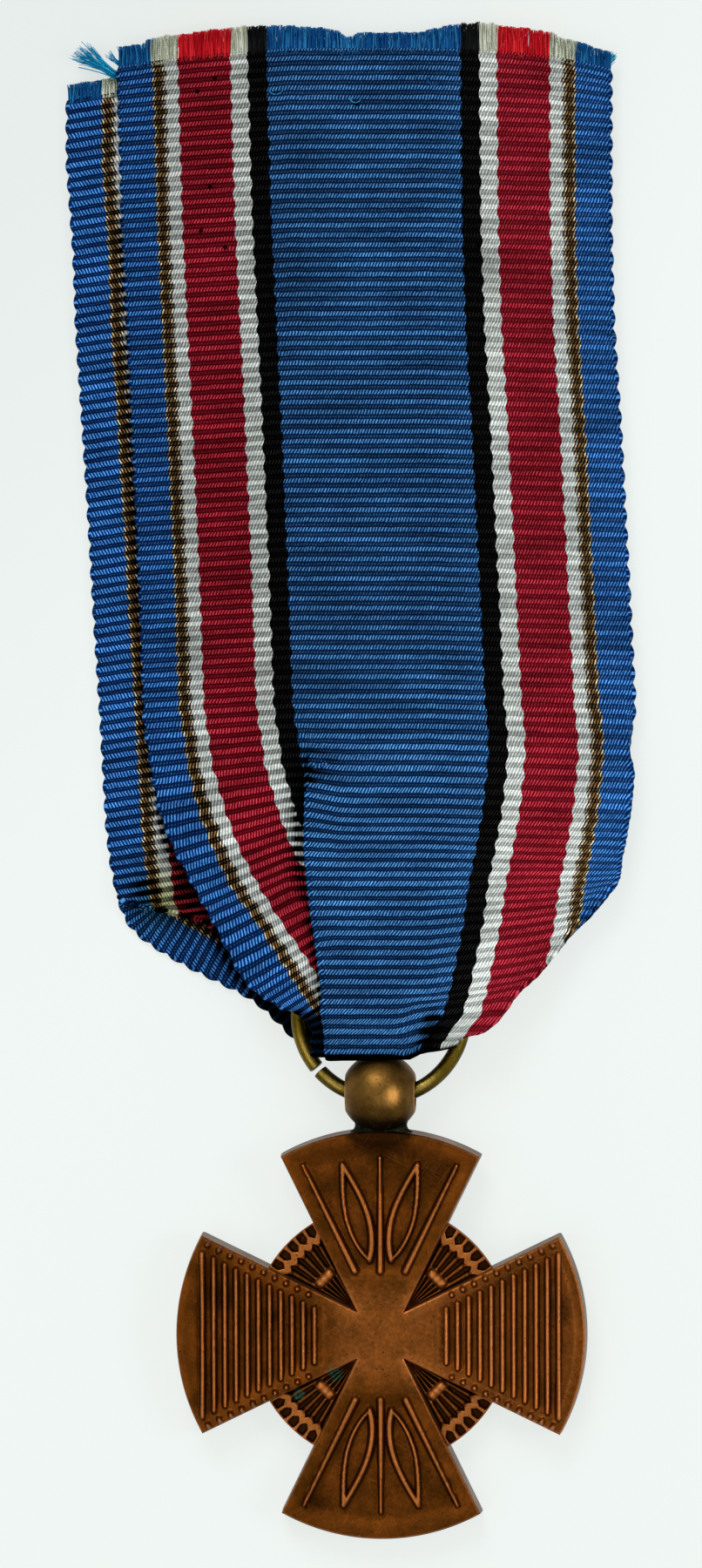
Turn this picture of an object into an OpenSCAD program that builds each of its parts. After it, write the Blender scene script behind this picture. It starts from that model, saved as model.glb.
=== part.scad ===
// Commemorative bronze cross on a folded ribbon, lying on its back on a surface.
// The origin is on the surface under the middle of the whole, +Y runs up the ribbon.

/* [Cross] */
// Distance from the middle of the cross to the ends of its arms
cross_r = 15.5; // [13:0.1:18]
// Thickness of the arms
arm_t = 2.4; // [2:0.1:3]
// Angle between the middle line of an arm and each flank
flank_angle = 26; // [22:0.5:30]
// Half width of an arm where it leaves the middle
waist = 1.8; // [1.5:0.1:2.2]
// Width of the raised border along the edge of an arm
border = 0.75; // [0.5:0.05:1]
// Depth of the sunk field inside that border
sink = 0.35; // [0.2:0.05:0.5]
// Height of the raised ornament above the sunk field
relief = 0.45; // [0.2:0.05:0.7]
// Width of the raised ornament's strokes
stroke = 0.46; // [0.3:0.02:0.6]
// Upright reeds on each side arm
reeds = 11; // [7:1:13]

/* [Disc and arrows] */
// Radius of the disc behind the arms
disc_r = 9.9; // [8:0.1:11]
// Thickness of the disc
disc_t = 1.25; // [1:0.05:1.6]
// Arrows in each bundle between two arms
arrows = 5; // [3:1:6]

/* [Ball and ring] */
// Diameter of the ball
ball_d = 6; // [5:0.1:6.4]
// Width of the ball between the faces where it is bored
ball_w = 5.3; // [4:0.1:5.6]
// Diameter of the bore for the ring
bore_d = 2.3; // [2.1:0.1:2.5]
// Distance from the middle of the cross to the middle of the ball
ball_y = 18.35; // [18:0.05:18.6]
// Width of the neck under the ball
neck_d = 3.9; // [3:0.1:4.2]
// Radius of the ring to the middle of its wire
ring_r = 6.28; // [6:0.02:6.6]
// Diameter of the ring's wire
wire_d = 1.15; // [0.9:0.05:1.2]
// Width of the slit between the wire's ends
slit = 0.33; // [0.1:0.05:0.8]

/* [Ribbon] */
// Thickness of the ribbon's wall
cloth_t = 1; // [1:0.1:1.2]
// Gap between the two plies where they lie on each other
ply_gap = 0.12; // [0.1:0.02:0.3]
// Height of the pleat's step on the front ply
pleat_h = 0.85; // [0.4:0.05:1.2]
// Extra thickness where the front ply's right side is folded under
turned_t = 0.5; // [0.2:0.05:0.7]
// Height of the rounded fold at the ring
fold_h = 5.6; // [5:0.1:6]

/* [Hidden] */
$fn = 48;
bronze = "#7a4a26";
brass = "#8a7438";
silk = "#2a609c";

// Where the ball lies, seen from above
ball_at = [2.42, -23.35];
ball_r = ball_d / 2;
// Height of the ball's middle above the back of the cross
ball_z = 1.3;
// The cross leans on the ball and on the end of its lower arm
lean = asin(ball_r / norm([cross_r + ball_y, ball_z])) - atan2(ball_z, cross_r + ball_y);
cross_z = cross_r * sin(lean);
cross_y = ball_at[1] - ball_y * cos(lean) + ball_z * sin(lean);
// Slack for cuts and laps that must not end flush
lap = 0.1;
// Where the sunk field of an arm starts, above the flat middle
field_from = 4.3;

// Half width of an arm at height y, with its flank moved in by a margin
function arm_half(y, margin = 0) =
    waist + (y - waist) * tan(flank_angle) - margin / cos(flank_angle);

// Outline of the upper arm, moved in by a margin and cut off below a height
module arm_outline(margin, from) {
    far = cross_r + 1;
    intersection() {
        circle(r = cross_r - margin, $fn = 96);
        polygon([
            [-arm_half(from, margin), from],
            [arm_half(from, margin), from],
            [arm_half(far, margin), far],
            [-arm_half(far, margin), far]
        ]);
    }
}

// Outline of a stroke along a line, with pointed ends
module bar(a, b, w) {
    run = (b - a) / norm(b - a);
    side = [-run[1], run[0]] * w / 2;
    tip = run * w * 0.45;
    polygon([a, a + tip + side, b - tip + side, b, b - tip - side, a + tip - side]);
}

// Outline of a leaf from its foot to its tip, bulged by half its width
function leaf(foot, tip, half, steps = 10) =
    let(run = tip - foot, side = [-run[1], run[0]] / norm(run))
    [for (way = [1, -1]) for (i = [0 : steps - 1])
        let(t = way > 0 ? i / steps : 1 - i / steps)
        foot + run * t + side * way * half * sin(180 * pow(t, 0.8))];

// Raised ornament of the upper and lower arms: a middle bar, a pair of leaves, a pair of flank bars
module leaf_ornament() {
    low = field_from + 0.6;
    high = cross_r - 2.6;
    // Distance from the flank to the middle of a flank bar
    inset = border + 0.65;
    foot_x = 0.75;
    tip_x = 2.9;
    leaf_half = 1.05;
    bar([0, low], [0, high + 0.6], stroke);
    for (side = [1, -1]) {
        bar([side * (arm_half(low) - inset), low], [side * (arm_half(high) - inset), high], stroke);
        difference() {
            polygon(leaf([side * foot_x, low + 0.5], [side * tip_x, high + 0.3], leaf_half));
            polygon(leaf([side * (foot_x + 0.2), low + 1.5], [side * (tip_x - 0.15), high - 0.6],
                leaf_half - stroke));
        }
    }
}

// Raised ornament of a side arm: upright reeds that follow its flare, with pellets between them
module reed_ornament() {
    first = field_from + 0.7;
    last = cross_r - 2;
    pitch = (last - first) / (reeds - 1);
    // Distance from the flank to the end of a reed
    inset = border + 0.55;
    pellet_r = stroke * 0.4;
    for (i = [0 : reeds - 1]) {
        y = first + i * pitch;
        half = arm_half(y) - inset;
        bar([-half, y], [half, y], stroke);
        if (i > 0)
            for (side = [1, -1])
                translate([side * (half - inset / 2), y - pitch / 2])
                    circle(r = pellet_r, $fn = 16);
    }
}

// Bundle of arrows between two arms, pointing from the middle to the rim
module arrow_bundle() {
    // The shafts spread from the corner between the two arms
    root = norm([waist, waist]);
    spread = 30;
    step = spread / (arrows - 1);
    shaft_to = disc_r - root - 1.5;
    shaft_half = 0.24;
    shaft_rise = 0.35;
    feather_len = 1.4;
    feather_half = 0.4;
    feather_rise = 0.5;
    // Band that binds the shafts: place, width along them, length across them, height
    band_at = 6.1;
    band = [0.75, 1.75, disc_t + 0.75];
    translate([root, 0, 0]) {
        for (i = [0 : arrows - 1]) rotate([0, 0, i * step - spread / 2]) {
            linear_extrude(disc_t + shaft_rise)
                polygon([[0.9, -0.06], [shaft_to, -shaft_half], [shaft_to, shaft_half], [0.9, 0.06]]);
            translate([shaft_to - 0.2, 0, 0])
                linear_extrude(disc_t + feather_rise)
                    polygon([[0, 0], [feather_half, -feather_half * 0.9], [feather_len, -feather_half],
                        [feather_len, feather_half], [feather_half, feather_half * 0.9]]);
        }
    }
    translate([band_at, 0, band[2] / 2]) cube(band, center = true);
}

// Ball with two flat faces, on a waisted neck that is soldered to the end of the upper arm
module ball_and_neck() {
    foot_y = cross_r - 0.35;
    foot_r = neck_d * 0.67;
    sunk_y = foot_y - 0.8;
    throat_y = cross_r + 0.5;
    throat_half = 0.2;
    top_y = ball_y - 1.9;
    top_r = neck_d * 0.56;
    // The neck is flush with the arm's face
    neck_t = 2 * (arm_t - ball_z);
    translate([0, 0, ball_z]) {
        translate([0, ball_y, 0]) intersection() {
            sphere(d = ball_d, $fn = 64);
            cube([ball_w, ball_d + lap, ball_d + lap], center = true);
        }
        intersection() {
            rotate([-90, 0, 0]) rotate_extrude($fn = 64)
                polygon([[0, sunk_y], [foot_r, sunk_y], [foot_r, foot_y],
                    [neck_d / 2, throat_y - throat_half], [neck_d / 2, throat_y + throat_half],
                    [top_r, top_y], [0, ball_y]]);
            cube([neck_d * 2, ball_y * 3, neck_t], center = true);
        }
    }
}

module cross() {
    color(bronze)
    translate([ball_at[0], cross_y, cross_z]) rotate([lean, 0, 0]) difference() {
        union() {
            difference() {
                union() {
                    for (k = [0 : 3]) rotate([0, 0, 90 * k])
                        linear_extrude(arm_t) arm_outline(0, 0);
                    cylinder(r = disc_r, h = disc_t, $fn = 128);
                }
                for (k = [0 : 3]) rotate([0, 0, 90 * k])
                    translate([0, 0, arm_t - sink])
                        linear_extrude(sink + lap) arm_outline(border, field_from);
            }
            translate([0, 0, arm_t - sink - lap]) linear_extrude(relief + lap) {
                for (k = [0, 2]) rotate([0, 0, 90 * k]) leaf_ornament();
                for (k = [1, 3]) rotate([0, 0, 90 * k]) reed_ornament();
            }
            for (k = [0 : 3]) rotate([0, 0, 45 + 90 * k]) arrow_bundle();
            ball_and_neck();
        }
        translate([0, ball_y, ball_z]) rotate([0, 90, 0])
            cylinder(d = bore_d, h = ball_d + lap, center = true);
    }
}

// The ring rises a little from under the ribbon's front ply to the ball
ring_low_z = cloth_t + 0.18 + wire_d / 2;
ring_high_z = ball_r - 0.25;
ring_tilt = asin((ring_high_z - ring_low_z) / (2 * ring_r));
// Room that the wire leaves below it in the bore, seen from above
ring_drop = 0.41;
ring_at = [ball_at[0], ball_at[1] - ring_drop + ring_r * cos(ring_tilt), (ring_low_z + ring_high_z) / 2];
slit_angle = 221;

module suspension_ring() {
    open = slit / ring_r * 180 / PI;
    color(brass)
    translate(ring_at) rotate([-ring_tilt, 0, 0]) rotate([0, 0, slit_angle + open / 2])
        rotate_extrude(angle = 360 - open, $fn = 96)
            translate([ring_r, 0]) circle(d = wire_d, $fn = 24);
}

// Columns of the front ply's table: height on the page, left edge, right edge,
// edge of the pleat, and how far the pleat reaches under it
Y = 0;
LEFT = 1;
RIGHT = 2;
PLEAT = 3;
UNDER = 4;
// Front ply, from its cut end down to the ring
FRONT = [
    [54.0, -17.5, 19.7, -3.4, 1.0],
    [43.0, -17.2, 19.7, -3.4, 1.0],
    [33.1, -16.7, 20.1, -3.4, 1.0],
    [21.9, -16.2, 20.7, -3.4, 1.0],
    [10.3, -15.7, 21.3, -3.4, 1.0],
    [4.6, -15.5, 21.6, -3.4, 1.0],
    [1.6, -15.0, 21.6, -3.4, 1.2],
    [-2.1, -14.3, 21.4, -3.4, 2.0],
    [-4.9, -13.2, 21.0, -3.4, 2.6],
    [-7.3, -11.9, 20.6, -3.2, 3.2],
    [-8.5, -11.1, 19.9, -3.1, 3.5],
    [-10.1, -10.2, 18.4, -3.0, 3.8],
    [-12.0, -9.3, 16.9, -2.9, 4.0],
    [-14.0, -8.1, 15.0, -2.7, 4.2],
    [-16.1, -6.2, 13.2, -2.5, 4.3],
    [-17.2, -4.4, 12.0, -2.3, 4.3],
    [-18.2, -3.0, 10.8, -2.1, 4.3],
    [-19.1, -2.2, 9.6, -1.9, 4.2],
    [-19.9, -1.9, 8.6, -1.7, 4.0],
    [-20.3, 4.6, 7.6, 4.8, 0.6]
];
// Highest point and drop of the arched cut end, and its middle and half width
ARCH = [57, 3, 1.1, 18.6];
// The front ply leaves the back ply at the first height and is over the wire at the second
rise_from = 14;
rise_to = -12;
over_wire = ring_high_z + wire_d / 2 - 0.2;
// Near the ring it climbs further, to lie on the ball
climb = 0.9;
climb_from = -13;
climb_to = -19.5;
// Beyond this distance from the middle its sides droop again, by no more than the drop
droop_from = 7;
droop_rate = 0.02;
droop_most = 1.2;
// The pleat's step starts at the first height and is full at the second
step_from = 3;
step_to = -8;
// The slanting lower right edge is doubled from the first height, fully at the second
doubled_from = -5;
doubled_to = -9;
// Columns of points across the front ply that lie left of the pleat's step
left_cols = 5;

// Smooth step from 0 at a to 1 at b
function ease(a, b, v) = let(t = min(1, max(0, (v - a) / (b - a)))) t * t * (3 - 2 * t);
function mix(a, b, t) = a + (b - a) * t;

// Underside of the front ply
function lift(x, y) =
    let(rise = ease(rise_from, rise_to, y), far = max(0, abs(x - ball_at[0]) - droop_from))
    cloth_t + ply_gap + (over_wire - cloth_t) * rise
    - min(droop_most, droop_rate * far * far) * rise
    + climb * ease(climb_from, climb_to, y);
function arched(x, row) =
    row > 0 ? FRONT[row][Y] : ARCH[0] - ARCH[1] * pow((x - ARCH[2]) / ARCH[3], 2);
function step_up(y) = pleat_h * ease(step_from, step_to, y) * (1 - 0.4 * ease(climb_from, climb_to, y));
function raised(col, x, row) =
    let(f = FRONT[row], slope = (f[RIGHT] - x) / (f[RIGHT] - f[PLEAT]))
    col < left_cols ? 0 : step_up(f[Y]) * pow(max(0, slope), 0.7);
function doubled(col, cols, y) =
    (col < cols - 2 ? 0 : turned_t) * ease(doubled_from, doubled_to, y);

// Places across the front ply, on its face or on its underside, from left to right
function front_x(row, face) =
    let(f = FRONT[row], start = face ? f[PLEAT] : f[PLEAT] + f[UNDER], gap = 0.15)
    concat(
        [for (t = [0 : 0.25 : 0.75]) mix(f[LEFT], f[PLEAT] - gap, t)],
        [start - gap, start],
        [for (t = [0.2 : 0.2 : 1]) mix(start, f[RIGHT], t)]
    );
function front_grid(face) = [for (row = [0 : len(FRONT) - 1])
    let(xs = front_x(row, face))
    [for (col = [0 : len(xs) - 1])
        let(x = xs[col], y = FRONT[row][Y])
        [x, arched(x, row), lift(x, y) + raised(col, x, row)
            + (face ? cloth_t : -doubled(col, len(xs), y))]]];

// Back ply, from the ring up to its cut end: height on the page, left edge, right edge
BACK = [
    [-18.2, -4.7, 7.0],
    [-17.3, -6.2, 8.4],
    [-15.3, -8.9, 10.6],
    [-13.1, -13.6, 12.8],
    [-10.9, -16.9, 14.8],
    [-10.1, -17.3, 15.5],
    [-7.7, -17.8, 17.4],
    [-3.0, -18.5, 18.0],
    [4.4, -18.9, 17.8],
    [12.2, -19.4, 17.4],
    [22.6, -20.0, 16.8],
    [33.1, -20.8, 16.1],
    [43.0, -21.0, 15.9],
    [53.3, -21.5, 15.5]
];
// The fold goes through the ring between these two sides
THROAT = [-1.8, 5.9];
// Middle of the fold's half turn, how far it reaches from there, and how far its top leans out
fold_y = -18.35;
fold_reach = 1.5;
fold_lean = 1.7;
// Where the fold's upper end is sunk into the front ply
lead_y = -16.4;
lead_z = fold_h - 0.75;

// Place of the fold's half turn at an angle, on its face or moved in by the wall
function fold_point(angle, in) =
    let(half = fold_h / 2, tall = half - in, lean_out = sin(angle) > 0 ? fold_lean * tall / half : lap)
    [fold_y - (fold_reach - in) * cos(angle) - lean_out * sin(angle), half + tall * sin(angle)];
function across(left, right, y, z) = [for (t = [0 : 0.25 : 1]) [mix(left, right, t), y, z]];
function back_grid(in) = concat(
    [across(THROAT[0], THROAT[1], lead_y, lead_z - in)],
    [for (angle = [90 : -15 : -90])
        let(p = fold_point(angle, in)) across(THROAT[0], THROAT[1], p[0], p[1])],
    [for (row = BACK) across(row[LEFT], row[RIGHT], row[Y], in)]
);

// Closed wall between two grids of points of the same size
module wall(outer, inner) {
    rows = len(outer);
    cols = len(outer[0]);
    points = [for (grid = [outer, inner]) for (row = grid) for (p = row) p];
    out = function (i, j) i * cols + j;
    in = function (i, j) (rows + i) * cols + j;
    quads = concat(
        [for (i = [0 : rows - 2]) for (j = [0 : cols - 2])
            [out(i, j), out(i, j + 1), out(i + 1, j + 1), out(i + 1, j)]],
        [for (i = [0 : rows - 2]) for (j = [0 : cols - 2])
            [in(i, j), in(i + 1, j), in(i + 1, j + 1), in(i, j + 1)]],
        [for (i = [0 : rows - 2])
            [out(i, 0), out(i + 1, 0), in(i + 1, 0), in(i, 0)]],
        [for (i = [0 : rows - 2])
            [out(i, cols - 1), in(i, cols - 1), in(i + 1, cols - 1), out(i + 1, cols - 1)]],
        [for (j = [0 : cols - 2])
            [out(0, j), in(0, j), in(0, j + 1), out(0, j + 1)]],
        [for (j = [0 : cols - 2])
            [out(rows - 1, j), out(rows - 1, j + 1), in(rows - 1, j + 1), in(rows - 1, j)]]
    );
    polyhedron(
        points = points,
        faces = [for (q = quads) for (half = [[0, 1, 2], [0, 2, 3]]) [for (k = half) q[k]]]
    );
}

module ribbon() {
    color(silk) union() {
        wall(front_grid(true), front_grid(false));
        wall(back_grid(0), back_grid(cloth_t));
    }
}

cross();
suspension_ring();
ribbon();
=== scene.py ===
# %% [markdown]
# # A bronze cross on a folded ribbon
# The real object lies on its back: a small struck cross, a split wire ring, and a length of
# ribbed silk ribbon drawn through the ring and folded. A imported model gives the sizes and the
# places of the three pieces, and this lesson dresses it. Everything is built as mesh code,
# because ribs, struck relief and frayed threads all follow rules that are easy to write down.

# %% Load the model
import math

import bpy
import numpy as np
from mathutils import Matrix, Vector


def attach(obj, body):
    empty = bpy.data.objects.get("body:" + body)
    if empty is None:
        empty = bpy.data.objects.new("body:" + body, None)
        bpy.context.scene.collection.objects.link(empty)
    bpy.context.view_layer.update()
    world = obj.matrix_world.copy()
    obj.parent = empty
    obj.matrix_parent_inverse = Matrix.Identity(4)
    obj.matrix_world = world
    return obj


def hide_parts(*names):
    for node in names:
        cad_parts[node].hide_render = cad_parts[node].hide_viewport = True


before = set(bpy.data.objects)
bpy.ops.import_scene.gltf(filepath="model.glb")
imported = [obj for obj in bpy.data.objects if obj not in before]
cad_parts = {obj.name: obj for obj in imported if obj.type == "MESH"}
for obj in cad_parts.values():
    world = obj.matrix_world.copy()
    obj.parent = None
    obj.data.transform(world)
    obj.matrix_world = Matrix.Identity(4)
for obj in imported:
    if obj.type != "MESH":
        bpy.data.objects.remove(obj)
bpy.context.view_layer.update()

# %% [markdown]
# ## Camera
# The object was seen from nearly straight above, from a point a little to the right, so that
# the walls that face right show as thin strips. A camera could be turned by hand, but aiming it
# with one vector from where it stands to the middle of the object keeps the picture level. Its
# long lens is worked out from the height of the picture on the table.

# %% Camera
MM = 0.001
PICTURE_HEIGHT = 119.2 * MM
CAMERA_AT = Vector((43, 0, 700)) * MM
SENSOR = 36


def add_camera():
    """Camera that looks at the middle of the object and stays level."""
    data = bpy.data.cameras.new("camera")
    data.sensor_width = SENSOR
    data.lens = SENSOR * CAMERA_AT.length / PICTURE_HEIGHT
    data.clip_start, data.clip_end = 0.01, 10
    camera = bpy.data.objects.new("camera", data)
    bpy.context.collection.objects.link(camera)
    back = CAMERA_AT.normalized()
    right = Vector((0, 1, 0)).cross(back).normalized()
    turned = Matrix((right, back.cross(right), back)).transposed().to_4x4()
    camera.matrix_world = Matrix.Translation(CAMERA_AT) @ turned
    bpy.context.scene.camera = camera
    return camera


camera = add_camera()
print("lens", round(camera.data.lens, 1), "mm")

# %% [markdown]
# ## Helpers for meshes
# Every piece here is worked out as rows of points, so one helper turns such rows into a mesh.
# `from_pydata` is the plainest way in Blender to make a mesh: a list of places and a list of
# faces. Sizes are written in millimetres, and the helper turns them into metres once.

# %% Mesh helpers
def ease(a, b, value):
    """Smooth step from 0 at a to 1 at b."""
    t = np.clip((value - a) / (b - a), 0, 1)
    return t * t * (3 - 2 * t)


def grid_faces(rows, cols, start=0, ring=False):
    """Faces between the points of a grid that is stored row by row."""
    i, j = np.meshgrid(np.arange(rows - 1), np.arange(cols if ring else cols - 1), indexing="ij")
    i, j = i.ravel(), j.ravel()
    k = (j + 1) % cols
    return start + np.stack([i * cols + j, i * cols + k, (i + 1) * cols + k, (i + 1) * cols + j], 1)


def add_mesh(name, points, faces, smooth=True):
    """Object of points in millimetres and faces."""
    mesh = bpy.data.meshes.new(name)
    mesh.from_pydata((np.asarray(points) * MM).tolist(), [], [list(f) for f in faces])
    mesh.validate()
    if smooth:
        mesh.shade_smooth()
    else:
        mesh.shade_flat()
    made = bpy.data.objects.new(name, mesh)
    bpy.context.collection.objects.link(made)
    return made


def add_point_values(made, name, values):
    """Keeps a number for each point, for the material to read."""
    layer = made.data.attributes.new(name, "FLOAT", "POINT")
    layer.data.foreach_set("value", np.asarray(values, float))


def add_point_uvs(made, name, uvs):
    """Keeps two numbers for each point, as a UV map."""
    corners = np.empty(len(made.data.loops), int)
    made.data.loops.foreach_get("vertex_index", corners)
    layer = made.data.uv_layers.new(name=name)
    layer.data.foreach_set("uv", np.asarray(uvs, float)[corners].ravel())


def report(made):
    triangles = sum(len(p.vertices) - 2 for p in made.data.polygons)
    print(f"{made.name}: {triangles} triangles")


print("a grid of 3 by 4 points has", len(grid_faces(3, 4)), "faces")

# %% [markdown]
# ## The ribbon's stripes and ribs
# The ribbon is one band 37 mm wide. Seven stripes run from each selvedge to the middle, and a
# rib crosses the band every three quarters of a millimetre. Places on the flat band are called
# u, across, and v, along, in millimetres. The folded shape is then a rule that says where each
# u and v ends up, and the stripes need no drawing: the material reads u and v.

# %% Stripes and ribs
STRIPES = {"edge blue": 2.5, "brown": 1.05, "white": 0.9, "red": 4.05,
           "inner white": 1.33, "black": 1.41, "middle blue": 14.85}
STRIPE_AT = np.cumsum([0] + list(STRIPES.values()))
BROWN_U, WHITE_U, RED_U, INNER_WHITE_U, FIRST_BLACK_U, BLUE_U = STRIPE_AT[1:7]
BAND_W = 2 * BLUE_U + STRIPES["middle blue"]
# Where the second black stripe starts
BLACK_U = BAND_W - BLUE_U
RIB = 0.745
ROWS_PER_RIB = 4
print("band", round(BAND_W, 2), "mm wide, stripes at", STRIPE_AT.round(2).tolist())

# %% [markdown]
# ## Where the ribbon lies
# The front ply comes down from its frayed end, its left side slips under its middle in a pleat,
# its right side is turned under along a slant, and it goes down through the ring. Short tables
# give the edges at a few heights, and the curves between their rows are smooth. The back ply
# comes up again behind it. Each ply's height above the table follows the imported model.

# %% Tables of the front ply
# Height on the page, left edge
FRONT_LEFT = np.array([
    [55.0, -17.6], [43.0, -17.2], [33.1, -16.7], [17.9, -16.0], [4.6, -15.5], [1.6, -15.0], [-2.1, -14.3],
    [-4.9, -13.2], [-7.7, -11.7], [-10.5, -10.1], [-13.2, -8.7], [-14.6, -7.9], [-15.7, -6.9],
    [-17.0, -4.7], [-17.4, -3.4], [-18.5, -2.6]])
# Height on the page, right edge, which is a fold below -8
FRONT_RIGHT = np.array([
    [55.0, 19.7], [42.5, 19.7], [34.9, 19.9], [27.4, 20.4], [16.0, 21.0], [4.6, 21.6], [0.7, 21.5],
    [-2.1, 21.2], [-4.4, 20.8], [-7.1, 20.4], [-8.3, 19.9], [-9.4, 18.9], [-11.7, 17.1], [-13.9, 15.4],
    [-15.6, 13.9], [-17.7, 11.6], [-18.7, 10.6], [-19.5, 9.5], [-20.1, 8.2]])
# Height on the page, left sides of the brown, red and second black stripe, edge of the pleat
FRONT_INNER = np.array([
    [4.6, -12.7, -10.8, 10.65, -3.3], [1.6, -12.4, -10.5, 10.6, -3.15], [-2.1, -11.5, -9.4, 10.25, -3.15],
    [-4.9, -10.4, -8.35, 9.75, -3.2], [-7.7, -9.1, -6.85, 9.2, -2.9], [-10.5, -7.0, -5.1, 8.85, -2.55],
    [-13.2, -5.3, -3.2, 8.3, -2.15], [-15.7, -3.7, -1.7, 7.8, -1.8], [-17.2, -2.6, -1.0, 7.4, -1.85],
    [-18.5, -1.6, -0.6, 6.6, -1.6], [-20.1, -1.4, -0.6, 5.7, -1.5]])
print("front ply:", len(FRONT_LEFT), len(FRONT_RIGHT), len(FRONT_INNER), "table rows")

# %% Tables of the back ply
# Height on the page, left side, where that side lies on the band, second black stripe, right side.
# Above -8.7 the left side is the selvedge, and below it the crease at the corner
BACK = np.array([
    [53.5, -21.5, 0.0, 4.3, 15.5], [47.2, -21.5, 0.0, 4.4, 15.7], [40.6, -21.0, 0.0, 4.8, 16.0],
    [34.8, -20.8, 0.0, 5.0, 16.2], [22.6, -20.0, 0.0, 5.8, 16.8], [12.2, -19.4, 0.0, 6.4, 17.4],
    [4.4, -18.9, 0.0, 6.9, 17.8], [0.7, -18.7, 0.0, 7.1, 18.0], [-3.0, -18.5, 0.0, 7.3, 18.0],
    [-5.8, -18.2, 0.0, 7.3, 17.8], [-8.7, -17.6, 0.1, 7.1, 16.8], [-9.1, -17.1, 0.6, 7.0, 16.5],
    [-9.4, -15.6, 2.1, 7.0, 16.2], [-9.8, -13.6, 4.1, 6.9, 15.9], [-10.4, -11.2, 6.6, 6.9, 15.3],
    [-11.3, -10.2, 7.6, 6.8, 14.6], [-13.0, -8.3, 9.4, 6.6, 12.8], [-15.0, -5.6, 12.0, 6.2, 10.6],
    [-17.0, -3.6, 15.4, 5.7, 8.0], [-18.35, -2.4, 18.0, 5.2, 6.1]])
# Place across the page and height on it, along the lower selvedge of the strip that runs from that
# corner to the ring
CORNER_EDGE = np.array([
    [-17.9, -5.6], [-17.8, -7.7], [-17.3, -10.1], [-16.6, -11.1], [-15.4, -12.0], [-14.1, -12.8],
    [-12.2, -13.9], [-10.7, -14.6], [-9.3, -15.3], [-7.4, -16.2], [-6.5, -17.0], [-5.6, -17.8],
    [-4.9, -18.6], [-3.9, -19.6], [-3.0, -20.5]])
print("back ply:", len(BACK), "table rows, corner:", len(CORNER_EDGE))

# %% Heights of the plies
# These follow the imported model's own rules for the ribbon
RING_MIDDLE = 2.42
WALL, PLY_GAP, OVER_WIRE = 1.0, 0.12, 3.125
# Heights on the page between which the front ply rises over the wire, and then climbs once more
RISE = (14, -12)
CLIMB_AT = (-13, -19.5)
CLIMB = 0.9
# Its sides droop from this far out, by the square of the way that is left, and by this at the most
DROOP_FROM, DROOP_RATE, DROOP_MOST = 7, 0.02, 1.2
# The sheet is thinner than the model's wall, and each pleat stacks layers of it
HALF_SHEET = 0.17
RIB_RISE = 0.065
LAYER = 0.44
BACK_Z = 0.3
FRONT_Z = WALL + PLY_GAP + BACK_Z


def front_height(x, y):
    """Middle of the front ply's lowest layer."""
    rise = ease(*RISE, y)
    far = np.maximum(0, np.abs(x - RING_MIDDLE) - DROOP_FROM)
    droop = np.minimum(DROOP_MOST, DROOP_RATE * far ** 2) * rise
    return FRONT_Z + (OVER_WIRE - WALL) * rise - droop + CLIMB * ease(*CLIMB_AT, y)


print("front ply at the top, the middle and the ring:",
      [round(float(front_height(0, y)), 2) for y in (50, 0, -19.5)])

# %% [markdown]
# ## One row across the ribbon
# A row is a line across the band, and the pleat makes it a Z seen from its end: the left panel
# runs under the middle one, turns back, and turns again into the pleat's edge. The row is kept
# as knots: how far across the band, how far across the page, and how deep inside the fold. A
# point is found between two knots, so every row is continuous and no cloth is cut.

# %% Reading a table and a row
TURNS = np.radians([-90, -135, -180, -225, -270])


def table(rows, column, y):
    """A table's column at heights on the page."""
    order = np.argsort(rows[:, 0])
    return np.interp(y, rows[order, 0], rows[order, column])


def between(u, knots, values):
    """Value at each u, on the line through its own knots."""
    found = values[0] + 0 * u
    for k in range(len(knots) - 1):
        share = np.clip((u - knots[k]) / np.maximum(knots[k + 1] - knots[k], 1e-6), 0, 1)
        found = found + share * (values[k + 1] - values[k])
    return found


def turn(u_at, u_span, x_at, radius, first, last):
    """Knots of a half circle between two depths, which bulges left where its radius is positive."""
    middle, half = (first + last) / 2, (last - first) / 2
    return [(u_at + u_span * (s - 0.5), x_at + radius * (1 + np.cos(a)), middle + half * np.sin(a))
            for s, a in zip(np.linspace(0, 1, len(TURNS)), TURNS)]


print("left edge halfway down:", round(float(table(FRONT_LEFT, 1, 18.0)), 2), "mm")

# %% Knots of the front ply
# Heights on the page between which the pleat stacks up, and between which its stripes spread again
PLEAT_AT = (3.6, -2.5)
SPREAD_AT = (2.5, 6.5)
# How far the left panel reaches under the middle one, and a turned edge behind the front, at the most
UNDER_MOST, TUCK_MOST = 4.3, 3.5
# Half length of cloth in a turn of the pleat, and in a turned edge
BEND, CURL = 0.22, 0.2


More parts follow.
